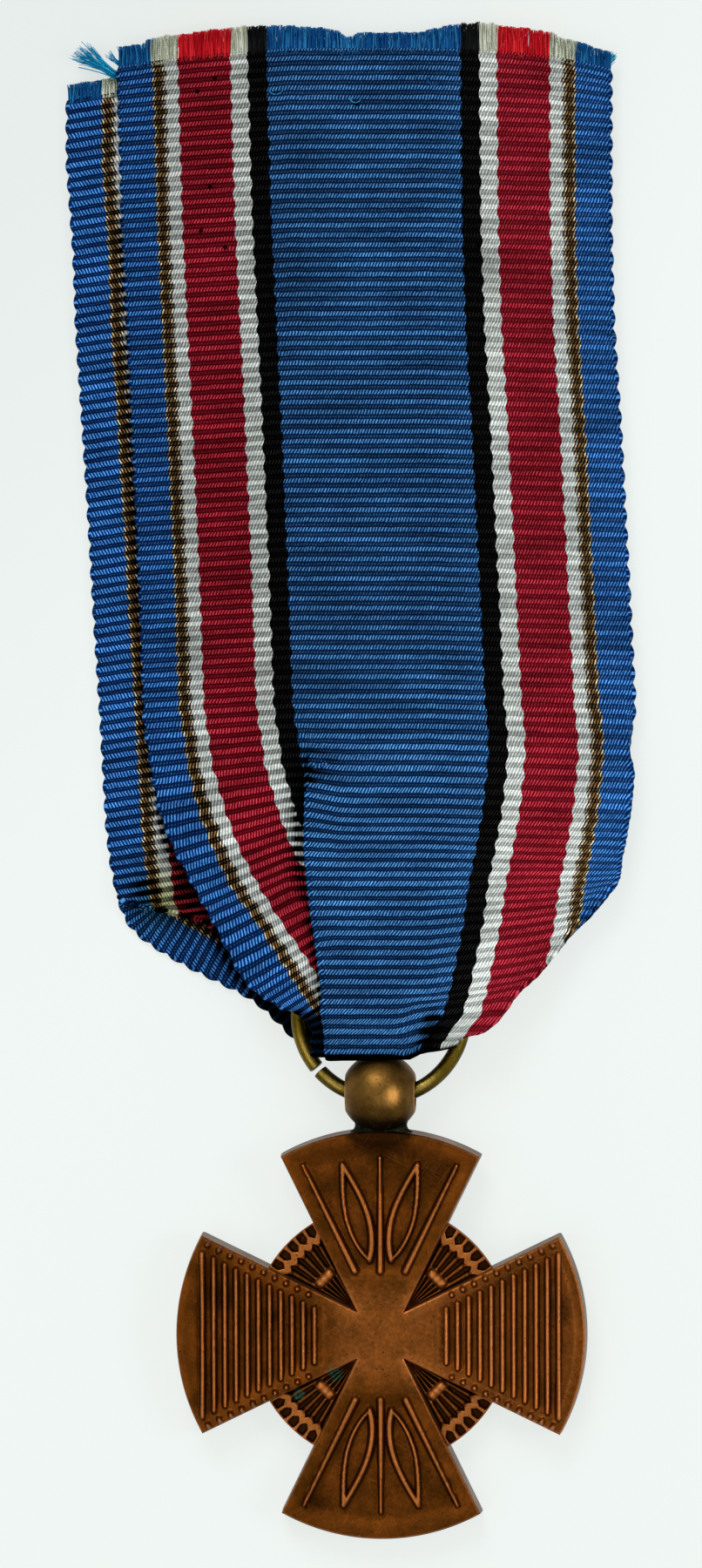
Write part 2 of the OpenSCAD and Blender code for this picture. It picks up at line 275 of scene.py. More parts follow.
def front_knots(y):
    """Knots across the front ply at heights on the page, with depths below its outer layer."""
    left, right = table(FRONT_LEFT, 1, y), table(FRONT_RIGHT, 1, y)
    brown, red, black, pleat = (table(FRONT_INNER, k, y) for k in (1, 2, 3, 4))
    plain = ease(*SPREAD_AT, y)
    scale = (right - left) / BAND_W
    brown, red, black = ((1 - plain) * a + plain * (left + u * scale)
                         for a, u in ((brown, BROWN_U), (red, RED_U), (black, BLACK_U)))
    meets = RED_U + (pleat - red)
    hidden = np.maximum(0.02, (BLACK_U - (black - pleat) - meets) * (1 - plain))
    under = np.minimum(hidden / 2, UNDER_MOST)
    turns_at, starts = meets + under, meets + hidden
    bend = np.minimum(BEND, hidden / 8)
    ends = np.minimum(BAND_W, BLACK_U + (right - black) / (1 + plain * (scale - 1)))
    curl = np.minimum(CURL, (BAND_W - ends) / 2)
    tuck = np.minimum(BAND_W - ends, TUCK_MOST)
    # The pleat is three layers high, and to its right the cloth sinks most of the way back
    mid = LAYER * ease(*PLEAT_AT, y)
    low, none = 2 * mid, 0 * y
    slope = 0.75 * low
    knots = [(none, left, low), (none + BROWN_U, brown, low), (none + RED_U, red, low)]
    knots += turn(turns_at, 2 * bend, pleat + under, -bend, low, mid)
    knots += turn(starts, 2.4 * bend, pleat, bend, mid, none)
    knots += [(none + BLACK_U, black, slope * 0.45)]
    knots += turn(ends, 2 * curl, right, -curl, slope, slope + 2.1 * curl)
    knots += [(none + BAND_W + 0.001, right - curl - tuck, slope + 2.2 * curl)]
    return np.array(knots), (turns_at, starts, ends, bend, curl)


probe, marks = front_knots(np.array([40.0, -2.0, -12.0, -19.0]))
print(len(probe), "knots; the pleat turns at u =", np.round(marks[1], 1))
print("the right fold is at u =", np.round(marks[2], 1))

# %% Knots of the back ply
# Width of the hem that is turned under at the corner's crease
HEM = 0.3


def back_knots(y):
    """Knots across the back ply, in the same order, with depths above its outer layer."""
    left, left_u, black, right = (table(BACK, k, y) for k in (1, 2, 3, 4))
    narrow = ease(-2, -6, y)
    ends = BAND_W + narrow * (np.minimum(BAND_W, BLACK_U + (right - black)) - BAND_W)
    curl = np.minimum(CURL, (BAND_W - ends) / 2)
    tuck = np.minimum(BAND_W - ends, TUCK_MOST)
    turns_at, hem, none = 0.6 * left_u, np.minimum(left_u / 2, HEM), 0 * y
    bend = np.minimum(CURL, left_u / 10)
    mid = LAYER * np.minimum(1, left_u)
    knots = [(none, left + hem / 2, 2 * mid), (0.2 * left_u, left + hem * 0.6, 2 * mid),
             (0.4 * left_u, left + hem * 0.8, 2 * mid)]
    knots += turn(turns_at, 2 * bend, left + hem, -bend, 2 * mid, mid)
    knots += turn(left_u, 2 * bend, left, bend, mid, none)
    knots += [(none + BLACK_U, black, none)]
    knots += turn(ends, 2 * curl, right, -curl, none, 2.1 * curl)
    knots += [(none + BAND_W + 0.001, right - curl - tuck, 2.2 * curl)]
    return np.array(knots), (turns_at, left_u, ends, bend, curl)


_, marks = back_knots(np.array([40.0, -9.8, -17.0]))
print("the corner's crease is at u =", np.round(marks[1], 1))

# %% Columns of a row
# Columns in the left panel, its turn, the hidden panel, its turn, the middle, the right fold, the tuck
COLUMN_GROUPS = (13, 4, 3, 6, 20, 5, 3)
COLUMNS = sum(COLUMN_GROUPS)
# Heights on the page between which the columns gather at the pleat's turns
PLEAT_COLUMNS = (3.4, 0.6)


def columns(marks, pleated):
    """Places across the band for a row: evenly spread, or gathered where the band turns."""
    turns_at, starts, ends, bend, curl = marks
    fold = [np.minimum(ends - curl, BAND_W - 0.8), np.minimum(ends + curl, BAND_W - 0.3)]
    stops = [0 * starts, turns_at - bend, turns_at + bend, starts - 1.2 * bend, starts + 1.3 * bend,
             *fold, 0 * starts + BAND_W]
    for k in range(1, 5):
        stops[k] = np.maximum(stops[k], 0.35 * k)
    gathered = []
    for first, last, count in zip(stops, stops[1:], COLUMN_GROUPS):
        gathered += [first + (last - first) * t / count for t in range(count)]
    gathered[-1] = stops[-1]
    even = np.linspace(0, BAND_W, COLUMNS)
    return (1 - pleated[:, None]) * even + pleated[:, None] * np.array(gathered).T


print(COLUMNS, "columns a row")

# %% [markdown]
# ## The path of the band
# Along its length the band is a front ply, a half turn inside the ring, and a back ply. Its ribs
# aren't quite level: they climb towards the right on the left third, and drop a little on the
# right, as cloth does where it is drawn into a fold. So a row first gets its height on the page,
# then each point of it is moved by that tilt, and the tables are read where it ends up.

# %% Tilt of the ribs
ARCH_TOP, BACK_TOP = 55.8, 54.2
# Slope of the ribs on the left, and what is added to it between two heights on the page
LEFT_SLOPE = 0.12
MORE_SLOPE = [(-0.06, -4, 8), (0.05, 6, -3), (0.34, 2, -10), (0.12, -8, -14)]


def front_tilt(x, y):
    """How far a point of a front row lies above the row's middle."""
    slope = sum((more * ease(first, last, y) for more, first, last in MORE_SLOPE), LEFT_SLOPE)
    left = -slope * np.maximum(0, 2.6 * ease(-7, -12, y) - 4.5 - x)
    right = (0.16 * ease(-4, -13, y) - 0.03) * np.maximum(0, x - 6)
    # The cut end is arched, and the ribs dip beside the start of the pleat
    arch = np.where(x < 1, -0.5, -1.15) * (np.abs(x - 1) / 18.3) ** 4 * np.exp((y - ARCH_TOP) / 4)
    dip = -0.5 * ease(-3.6, 0.2, x) * np.exp(-((y + 1.2) / 3.4) ** 2)
    # They rise at the right fold, and where the cloth is gathered at the ring
    fold = 0.3 * np.exp(-np.abs(x - table(FRONT_RIGHT, 1, y)) / 1.4) * ease(-6, -9, y)
    gather = 0.6 * ease(3.6, 6.2, x) * ease(-15.5, -18, y)
    return (left + right + dip + fold) * ease(-20, -16.5, y) + arch + gather * ease(-20, -18.6, y)


def back_tilt(x, y):
    """The same for a back row."""
    return -0.16 * np.maximum(0, -8 - x) * ease(-18, -15, y)


def settle(u, knots_of, tilt_of, rows_y):
    """Places across and up the page of every point, and its depth, where the rows' tilt is followed."""
    y = np.broadcast_to(rows_y[:, None], u.shape).copy()
    for _ in range(8):
        knots, _ = knots_of(y)
        x = between(u, knots[:, 0], knots[:, 1])
        y = 0.5 * y + 0.5 * (rows_y[:, None] + tilt_of(x, rows_y[:, None]))
    knots, _ = knots_of(y)
    return between(u, knots[:, 0], knots[:, 1]), y, between(u, knots[:, 0], knots[:, 2])


print("tilt at the left edge:", round(float(front_tilt(-15, 0.0)), 2), "mm")

# %% Waves and creases
rng = np.random.default_rng(7)
WAVES = [(rng.uniform(0.15, 0.5), rng.uniform(0.05, 0.22), rng.uniform(0, 6.3)) for _ in range(9)]
# Where the small folds beside the pleat start, and the angle in degrees and height of each
CREASE_FROM = (-3.3, 2.2)
CREASES = [(-8, 0.13), (-22, 0.16), (-40, 0.14), (-61, 0.1)]
# Place across the page and height of each fold that is gathered at the ring
GATHERS = [(4.6, 0.3), (6.0, 0.34), (7.6, 0.2)]


def waves(x, y):
    """Gentle unevenness of cloth that lies, between -1 and 1."""
    ripples = (np.sin(a * x + (b if k % 2 else -b) * y + c) for k, (a, b, c) in enumerate(WAVES))
    return sum(ripples) / len(WAVES)


def creases(x, y):
    """Small folds that fan out from the start of the pleat, and those gathered at the ring."""
    dx, dy = x - CREASE_FROM[0], y - CREASE_FROM[1]
    far = np.hypot(dx, dy) + 1e-6
    angle = np.degrees(np.arctan2(dy, dx))
    fold = sum(h * np.exp(-((angle - a) / 5.5) ** 2) for a, h in CREASES)
    gather = sum(h * np.exp(-((x - a - 0.4 * (y + 19)) / 0.42) ** 2) for a, h in GATHERS)
    return fold * ease(0.2, 1.6, far) * np.exp(-far / 4.5) * (dx > 0) + gather * ease(-15.8, -18.6, y)


print("waves of", round(float(np.ptp(waves(*np.meshgrid(range(-20, 20), range(-20, 55))))), 2))

# %% The half turn in the ring
# Where it starts on the page, how far it bulges, and how far it leans down the page
FOLD_Y, FOLD_REACH, FOLD_LEAN = -18.35, 1.5, 2.15
FRONT_END = FOLD_Y - FOLD_LEAN
FOLD_TOP = float(front_height(RING_MIDDLE, FRONT_END)) + 2 * LAYER
FOLD_MIDDLE = (FOLD_TOP + BACK_Z) / 2
ROW = RIB / ROWS_PER_RIB


def fold_place(angle, depth):
    """Height on the page and above the table, at an angle of the half turn."""
    inset = BACK_Z + depth
    y = FOLD_Y - (FOLD_REACH - inset) * np.cos(angle) - FOLD_LEAN * np.maximum(0, np.sin(angle)) ** 1.6
    return y, FOLD_MIDDLE + (FOLD_MIDDLE - inset) * np.sin(angle)


def fold_lift(x):
    """How far the bottom fold's right end curves up the page."""
    return 0.5 * ease(4.6, 5.8, x) + 0.05 * np.maximum(0, x - 5.8) ** 2


print("the fold's top lies", round(FOLD_TOP, 2), "mm above the table")

# %% Rows of the whole band
# How far the back ply is lifted by the strip under its corner
STRIP_LIFT = 0.42


def front_rows():
    """Places across the band and on the table, from the frayed end down to the ring."""
    rows_y = np.arange(ARCH_TOP, FRONT_END, -ROW)
    _, marks = front_knots(rows_y)
    u = columns(marks, ease(*PLEAT_COLUMNS, rows_y))
    x, y, depth = settle(u, front_knots, front_tilt, rows_y)
    stack = 2 * LAYER * ease(*PLEAT_AT, y)
    loose = 0.3 * (waves(x, y) + 0.3) * ease(-14, 0, y) + creases(x, y)
    z = front_height(x, y) + stack - depth + np.maximum(0, loose)
    return u, np.stack([x, y + fold_lift(x) * ease(-18.4, -20.3, y), z], 2)


def turn_rows(steps=400):
    """The same for the half turn, whose rows go over from the front ply's to the back ply's."""
    angles = np.linspace(np.pi / 2, -np.pi / 2, steps)
    y, z = fold_place(angles, 0)
    length = np.concatenate([[0], np.cumsum(np.hypot(np.diff(y), np.diff(z)))])
    angle = np.interp(np.arange(ROW / 2, length[-1], ROW), length, angles)
    first, last = front_knots(np.full(1, FRONT_END)), back_knots(np.full(1, FOLD_Y))
    share = ease(np.pi / 2, -np.pi / 2, angle)
    knots = first[0] + (last[0] - first[0]) * share
    marks = [a + (b - a) * share for a, b in zip(first[1], last[1])]
    u = columns(marks, np.ones(len(angle)))
    x = between(u, knots[:, 0, :, None], knots[:, 1, :, None])
    depth = between(u, knots[:, 0, :, None], knots[:, 2, :, None])
    y, z = fold_place(angle[:, None], depth)
    return u, np.stack([x, y + fold_lift(x), z + 0 * x], 2)


def back_rows():
    """The same for the back ply, from the ring up to its end."""
    rows_y = np.arange(FOLD_Y + ROW / 2, BACK_TOP, ROW)
    _, marks = back_knots(rows_y)
    u = columns(marks, ease(-6, -9, rows_y))
    x, y, depth = settle(u, back_knots, back_tilt, rows_y)
    over_strip = STRIP_LIFT * ease(-6, -8, y) * ease(-17.5, -15.5, y) * ease(-3, -8, x)
    loose = 0.12 * (waves(x + 5, y) + 1) * ease(-18, -10, y)
    # The hem under the crease takes the colour of the cloth beside it
    u = np.maximum(u, table(BACK, 2, y) - 0.02)
    return u, np.stack([x, y + fold_lift(x) * ease(-13, -18, y), BACK_Z + depth + over_strip + loose], 2)


band_rows = [front_rows(), turn_rows(), back_rows()]
band_u = np.concatenate([u for u, _ in band_rows])
band_middle = np.concatenate([p for _, p in band_rows])
print(len(band_u), "rows, band", round(len(band_u) * ROW, 1), "mm long")

# %% [markdown]
# ## From rows to cloth
# The rows give the middle of the cloth. Its two faces lie a little to each side, and each rib
# swells both of them, so the ribs are real shape and the edges come out scalloped. A solidify
# modifier would give an even sheet, but moving each face by its own amount gives the ribs too.

# %% Cloth around its middle rows
# How far a selvedge stands out, in the groove between two pairs of ribs and more on a pair
EDGE_OUT = 0.04
SCALLOP = 0.24


def unit(vectors):
    """The same directions with a length of 1."""
    return vectors / np.maximum(np.linalg.norm(vectors, axis=-1, keepdims=True), 1e-9)


def cloth_shell(middle, u, v, irregular, values):
    """Points, faces, UVs and values of a closed sheet around rows of middle points."""
    rows, cols = u.shape
    across = np.gradient(middle, axis=1)
    normal = unit(np.cross(np.gradient(middle, axis=0), across))
    swell = (0.5 + 0.5 * np.cos(2 * np.pi * v / RIB))[:, None] ** 0.8
    half = (HALF_SHEET + RIB_RISE * swell * (1 + 0.35 * irregular))[:, :, None]
    outer, inner = middle + normal * half, middle - normal * half
    scallop = (EDGE_OUT + SCALLOP * np.abs(np.sin(np.pi * v / RIB / 2)))[:, None]
    left = middle[:, 0] - unit(across[:, 0]) * scallop
    right = middle[:, -1] + unit(across[:, -1]) * scallop
    ring = np.concatenate([outer, right[:, None], inner[:, ::-1], left[:, None]], axis=1)
    ring_u, *kept = (np.concatenate([k, k[:, -1:], k[:, ::-1], k[:, :1]], axis=1) for k in (u, *values))
    around = 2 * cols + 2
    faces = grid_faces(rows, around, ring=True).tolist()
    for row, turned in ((0, False), (rows - 1, True)):
        cap = [[j, j + 1, 2 * cols - 1 - j, 2 * cols - j] for j in range(cols - 1)]
        cap += [[0, 2 * cols, 2 * cols + 1], [cols - 1, cols, cols + 1]]
        faces += [[row * around + k for k in (face[::-1] if turned else face)] for face in cap]
    uvs = np.stack([ring_u, np.broadcast_to(v[:, None], ring_u.shape)], 2)
    return ring.reshape(-1, 3), faces, uvs.reshape(-1, 2), [grid.ravel() for grid in kept]


def unevenness(rows, cols, seed):
    """Smooth random numbers for a grid, so that no two ribs are quite alike."""
    noise = np.random.default_rng(seed).standard_normal((rows, cols))
    for axis, width in ((0, 3), (1, 5)):
        noise = sum(np.roll(noise, k, axis) for k in range(-width, width + 1)) / math.sqrt(2 * width + 1)
    return np.clip(noise, -1, 1)


print("cloth between", 2 * HALF_SHEET, "and", 2 * (HALF_SHEET + RIB_RISE), "mm thick")

# %% Strip at the back ply's corner
STRIP_COLUMNS = 11
STRIP_W = 4.1
SMOOTHING = 60


def strip_rows():
    """The band's edge where it turns from the back ply's corner to the ring."""
    length = np.concatenate([[0], np.cumsum(np.hypot(*np.diff(CORNER_EDGE, axis=0).T))])
    at = np.arange(0, length[-1], ROW)
    edge = np.stack([np.interp(at, length, CORNER_EDGE[:, k]) for k in (0, 1)], 1)
    for _ in range(SMOOTHING):
        edge[1:-1] = (edge[:-2] + 2 * edge[1:-1] + edge[2:]) / 4
    run = unit(np.gradient(edge, axis=0))
    inward = np.stack([-run[:, 1], run[:, 0]], 1)
    u = np.broadcast_to(np.linspace(0, STRIP_W, STRIP_COLUMNS), (len(at), STRIP_COLUMNS))
    place = edge[:, None] + inward[:, None] * u[:, :, None]
    # It lies just above the table, and rises on its last stretch to the ring
    height = BACK_Z + 0.05 + 0.25 * ease(length[-1] * 0.55, length[-1], at)[:, None] + 0 * u
    return u, np.concatenate([place, height[:, :, None]], 2), at


strip_u, strip_middle, strip_v = strip_rows()
print("strip", round(float(strip_v[-1]), 1), "mm long")

# %% [markdown]
# ## Painted shade in the folds
# The shade in the folds, in the creases and under the overlapping plies is painted into the silk's
# colour. Each point keeps a number for that: high close to the pleat, in the small creases where
# the pleat starts, along the edge of a ply that lies on another, at the back ply's corner, and where
# the band dives under at the ring. A second number marks a patch that has yellowed, at the creased
# corner of the back ply.

# %% Creases and patches
# Two ends, width and strength of the painted shade along a crease
PAINTED_CREASE_SHADES = [
    ((-3.5, 2.6), (-0.9, 1.9), 0.24, 0.55), ((-3.5, 1.5), (-1.4, 0.4), 0.22, 0.6),
    ((-3.5, 0.6), (-2.3, -1.1), 0.18, 0.45), ((-3.4, -4.0), (-2.4, -4.8), 0.16, 0.35),
    ((6.5, -17.7), (5.7, -20.4), 0.75, 0.98)]
# Place, half sizes and strength of each patch of painted shade at the corner, and place and half
# sizes of the yellowed one
PAINTED_CORNER_SHADES = [(-15.5, -8.0, 1.9, 1.3, 0.74), (-12.5, -7.9, 1.35, 2.1, 0.95)]
YELLOWED_CORNER = (-14.2, -8.9, 2.2, 2.2)


def spot(x, y, middle_x, middle_y, wide, high):
    """A soft patch, 1 in its middle."""
    return np.exp(-((x - middle_x) / wide) ** 2 - ((y - middle_y) / high) ** 2)


def near_line(x, y, line):
    """Distance of each point from a line of points, and how far along the line that is."""
    nearest, where = np.full(x.shape, 1e9), np.zeros(x.shape)
    for k, (a, b) in enumerate(zip(line, line[1:])):
        run = np.subtract(b, a)
        share = np.clip(((x - a[0]) * run[0] + (y - a[1]) * run[1]) / (run @ run), 0, 1)
        far = np.hypot(x - a[0] - share * run[0], y - a[1] - share * run[1])
        closer = far < nearest
        where = np.where(closer, (k + share) / (len(line) - 1), where)
        nearest = np.where(closer, far, nearest)
    return nearest, where


print(len(PAINTED_CREASE_SHADES), "dark creases and", len(PAINTED_CORNER_SHADES), "dark patches")

# %% Painted shade of the folds
def near_front(x, y):
    """Painted shade on the back ply close to the front ply's left edge, which lies on it."""
    reach = 0.85 + 1.2 * ease(0, -6, y)
    return 0.97 * ease(-reach, -0.2, x - table(FRONT_LEFT, 1, y)) * ease(48, 42, y)


def front_shade(x, y, z):
    """Painted shade at the bottom fold, in the creases, and on the left panel beside the pleat that lies
    on it.
    """
    shade = 0.7 * ease(FRONT_END + 0.8, FRONT_END - 0.25, y)
    for start, end, width, strength in PAINTED_CREASE_SHADES:
        far, _ = near_line(x, y, (start, end))
        shade = np.maximum(shade, strength * np.exp(-(far / width) ** 2))
    pleat = table(FRONT_INNER, 4, y)
    reach = 2.4 - 1.5 * ease(-6.5, -9, y)
    under = np.maximum(ease(-reach, -0.3, x - pleat), ease(-16.8, -17.4, y)) * ease(4.5, 0.5, y)
    under = under * (x < pleat + 0.3) * (z < front_height(x, y) + 1.4 * LAYER)
    return np.maximum(shade, (0.82 + 0.16 * ease(-17, -18, y)) * under)


def back_shade(x, y, z):
    """Painted shade at the corner, along its crease, under the front ply's edge, and where the ply dives
    under.
    """
    corner = ease(-4.0, -9.5, y) * ease(-9.5, -15, x) * 0.35
    for *patch, strength in PAINTED_CORNER_SHADES:
        corner = np.maximum(corner, strength * spot(x, y, *patch))
    crease = np.exp(-np.abs(x - table(BACK, 1, y)) / 0.6) * ease(-8.6, -9.3, y)
    crease = crease * (0.15 + 0.8 * ease(-15.8, -13.6, x))
    dive = ease(-13.2, -15.2, y) * ease(-0.5, -2.5, x) * ease(3.0, 2.2, z) * 0.98
    return np.maximum.reduce([corner, dive, crease, near_front(x, y)])


def strip_shade(x, y):
    """Painted shade along the strip's inner side, and on its last stretch to the ring."""
    last = strip_v[-1]
    end = 0.98 * ease(last - 7.2, last - 5.8, strip_v)[:, None]
    side = 0.26 * ease(1.6, 3.2, strip_u) + 0.55 * ease(3.3, 3.6, strip_u)
    return np.maximum(np.maximum(end, side), near_front(x, y))


on_back = np.arange(len(band_u))[:, None] >= len(band_rows[0][0])
band_places = np.moveaxis(band_middle, -1, 0)
strip_places = np.moveaxis(strip_middle, -1, 0)[:2]
band_shades = np.where(on_back, back_shade(*band_places), front_shade(*band_places))
strip_shades = strip_shade(*strip_places)
band_yellow = spot(*band_places[:2], *YELLOWED_CORNER) * on_back
strip_yellow = spot(*strip_places, *YELLOWED_CORNER)
print("darkest fold:", round(float(band_shades.max()), 2))
print("most yellowed:", round(float(band_yellow.max()), 2))

# %% The ribbon's mesh
def add_ribbon():
    v = np.arange(len(band_u)) * ROW
    band = cloth_shell(band_middle, band_u, v, unevenness(*band_u.shape, seed=3),
                       (band_shades, band_yellow))
    strip = cloth_shell(strip_middle, strip_u, strip_v, unevenness(*strip_u.shape, seed=4),
                        (strip_shades, strip_yellow))
    shift = len(band[0])
    faces = band[1] + [[k + shift for k in face] for face in strip[1]]
    made = add_mesh("ribbon_silk_band", np.concatenate([band[0], strip[0]]), faces)
    add_point_uvs(made, "band", np.concatenate([band[2], strip[2]]))
    for name, of_band, of_strip in zip(("shade", "yellowed"), band[3], strip[3]):
        add_point_values(made, name, np.concatenate([of_band, of_strip]))
    return made


ribbon = add_ribbon()
report(ribbon)

# %% [markdown]
# ## A short way to write materials
# A material is a graph of nodes. Wiring it node by node takes many lines, so this helper makes a
# node, feeds its sockets with numbers or with other nodes, and hands back what comes out. The
# surface itself is always Blender's Principled shader, with its plain numbers on its own sockets.

# %% Material helper
def tone(red, green, blue, alpha=1):
    """Colour as light, from the 0 to 255 values of a screen."""
    light = [c / 255 / 12.92 if c / 255 <= 0.04045 else ((c / 255 + 0.055) / 1.055) ** 2.4
             for c in (red, green, blue)]
    return (*light, alpha)


class Finish:
    """One material, whose nodes are added by short calls."""

    def __init__(self, name, **plain):
        self.material = bpy.data.materials.new(name)
        self.material.use_nodes = True
        self.tree = self.material.node_tree
        self.surface = self.tree.nodes["Principled BSDF"]
        for socket, value in plain.items():
            self.surface.inputs[socket.replace("_", " ")].default_value = value

    def feed(self, socket, value):
        if isinstance(value, bpy.types.NodeSocket):
            self.tree.links.new(value, socket)
        elif value is not None:
            socket.default_value = value

    def node(self, kind, *values, out=0, **settings):
        made = self.tree.nodes.new("ShaderNode" + kind)
        for name, value in settings.items():
            setattr(made, name, value)
        for socket, value in zip(made.inputs, values):
            self.feed(socket, value)
        return made.outputs[out]

    def math(self, operation, *values):
        return self.node("Math", *values, operation=operation)

    def span(self, value, low, high, to_low=0.0, to_high=1.0):
        """Smooth step of a value."""
        return self.node("MapRange", value, low, high, to_low, to_high, interpolation_type="SMOOTHSTEP")

    def mix(self, share, first, second, blend="MIX"):
        made = self.tree.nodes.new("ShaderNodeMix")
        made.data_type, made.blend_type = "RGBA", blend
        for name, value in (("Factor_Float", share), ("A_Color", first), ("B_Color", second)):
            self.feed(next(s for s in made.inputs if s.identifier == name), value)
        return next(s for s in made.outputs if s.identifier == "Result_Color")

    def ramp(self, value, stops, interpolation="LINEAR", out=0):
        made = self.tree.nodes.new("ShaderNodeValToRGB")
        made.color_ramp.interpolation = interpolation
        for place, colour in stops[1:-1]:
            made.color_ramp.elements.new(place).color = colour
        for element, (place, colour) in ((made.color_ramp.elements[0], stops[0]),
                                         (made.color_ramp.elements[-1], stops[-1])):
            element.position, element.color = place, colour
        self.feed(made.inputs[0], value)
        return made.outputs[out]

    def named(self, kind, **values):
        """Node whose sockets are fed by name."""
        made = self.tree.nodes.new("ShaderNode" + kind)
        for name, value in values.items():
            self.feed(made.inputs[name], value)
        return made.outputs[0]

    def noise(self, place, scale, detail, roughness=0.55):
        return self.named("TexNoise", Vector=place, Scale=scale, Detail=detail, Roughness=roughness)

    def bump(self, height, distance, strength):
        return self.named("Bump", Height=height, Distance=distance, Strength=strength)

    def kept(self, name):
        """Number that each point of the mesh keeps."""
        return self.node("Attribute", attribute_name=name, out=2)

    def stretch(self, place, scale):
        return self.node("VectorMath", place, scale, operation="MULTIPLY")

    def dim(self, colour, share):
        """Colour times a number."""
        return self.mix(1.0, colour, self.node("CombineColor", share, share, share), "MULTIPLY")

    def wear(self, made):
        made.data.materials.clear()
        made.data.materials.append(self.material)


print("red on a screen is", np.round(tone(109, 19, 29), 3), "as light")

# %% [markdown]
# ## Ribbed silk
# Fine warp threads cover each rib in short slanting strokes, bright on the rib's crest and dim in
# the groove, and that highlight and shade is painted. Painting it needs no picture: u and v come
# with the mesh, a triangle wave of v is the rib, a sine of both is the strokes, and two ramps turn u
# into a stripe's colours, one for its ground and one for its strokes. The alpha of a ramp says how
# much light is left in the groove, which is none for strokes on blue and nearly half for those on
# white. The painted shade of the folds then dims it.

# %% Silk colours
BLUE = ((0, 38, 92), 0.42, (98, 163, 216), 0.0)
EDGE_BLUE = ((0, 38, 104), 0.42, (92, 166, 236), 0.0)
WHITE = ((156, 164, 160), 0.32, (255, 255, 252), 0.46)
# Start across the band, ground and its share of light in the groove, strokes and theirs
SILK = [
    (0.0, *EDGE_BLUE),
    (BROWN_U, (36, 22, 10), 0.1, (248, 228, 184), 0.0),
    (BROWN_U + 0.27, (22, 11, 5), 0.2, (150, 116, 72), 0.0),
    (BROWN_U + 0.77, (54, 42, 28), 0.1, (250, 238, 212), 0.0),
    (WHITE_U, *WHITE),
    (RED_U, (96, 0, 13), 0.6, (208, 66, 82), 0.0),
    (INNER_WHITE_U, *WHITE),
    (FIRST_BLACK_U, (0, 0, 1), 0.8, (30, 30, 30), 0.0),
    (BLUE_U, *BLUE),
]
YELLOWED = (236, 232, 170)
# Painted light along a rib, from its crest to its groove, on the ground and on the strokes
GROUND_LIGHT = [(0.0, 1.0), (0.36, 0.95), (0.52, 0.05), (0.66, 0.0), (0.8, 0.1), (1.0, 0.15)]
STROKE_LIGHT = [(0.0, 1.0), (0.36, 1.0), (0.5, 0.08), (0.66, 0.0), (0.8, 0.2), (1.0, 0.34)]
print(len(SILK), "stripes and threads from a selvedge to the middle")

# %% Ribs and strokes
# The lower part of the band is looser: its crests are wider, and it is painted lighter
LOOSE_FROM = (44, 60)
# Distance between two strokes across the band, and how far they lean over each millimetre along it
STROKE_W, STROKE_LEAN = 0.235, 0.45


def rib_depth(f, v, drift):
    """0 on a rib's crest and 1 in the groove, or a little less where the band is loose."""
    rib = f.math("DIVIDE", f.math("PINGPONG", f.math("ADD", v, drift), RIB / 2), RIB / 2)
    return f.math("MULTIPLY", rib, f.span(v, *LOOSE_FROM, 1.0, 0.84))


def strokes(f, u, v, uneven):
    """1 on a slanting stroke of thread, and 0 between two."""
    lean = f.math("MULTIPLY_ADD", v, STROKE_LEAN, u)
    wobbly = f.math("MULTIPLY_ADD", uneven, 0.25, lean)
    wave = f.math("SINE", f.math("MULTIPLY", wobbly, 2 * math.pi / STROKE_W))
    return f.span(wave, -0.25, 0.85)


print("strokes", STROKE_W, "mm apart on ribs", RIB, "mm apart")

# %% Stripes across the band
# The stripes waver: they shift this far to one side in one groove, and to the other in the next
STRIPE_SHIFT = 0.09


def stripe_place(f, u, v, drift):
    """0 at a selvedge and 1 in the middle of the band, along stripes that waver from rib to rib."""
    pair = f.math("SINE", f.math("MULTIPLY", v, math.pi / RIB))
    shifted = f.math("MULTIPLY_ADD", pair, STRIPE_SHIFT, u)
    shifted = f.math("ADD", shifted, f.math("MULTIPLY", drift, 0.6))
    side = f.math("MINIMUM", shifted, f.math("SUBTRACT", BAND_W, shifted))
    return f.math("DIVIDE", side, BAND_W / 2)


def stops(rows, colour, alpha=None):
    """Stops of a ramp from the columns of a colour and an alpha in a table of stripes."""
    return [(row[0] / (BAND_W / 2), tone(*row[colour], row[alpha] if alpha else 1)) for row in rows]


def grey(level):
    return (level, level, level, 1)


print("a stripe shifts by", STRIPE_SHIFT, "mm")

# %% How bright the silk is
# Places across the band between which the painted light grows, and between which the painted
# shade in the grooves gets lighter
DIM_AND_BRIGHT = (4, 34)
DEEP_AND_SHALLOW = (23, 29)
# Holes of a pin, across and along the band
PIN_HOLES = [(5.95, 2.75), (7.3, 1.85), (6.7, 10.1), (5.9, 13.4), (7.7, 14.8), (18.1, 4.25), (27.2, 14.9)]
PIN_R = 0.21


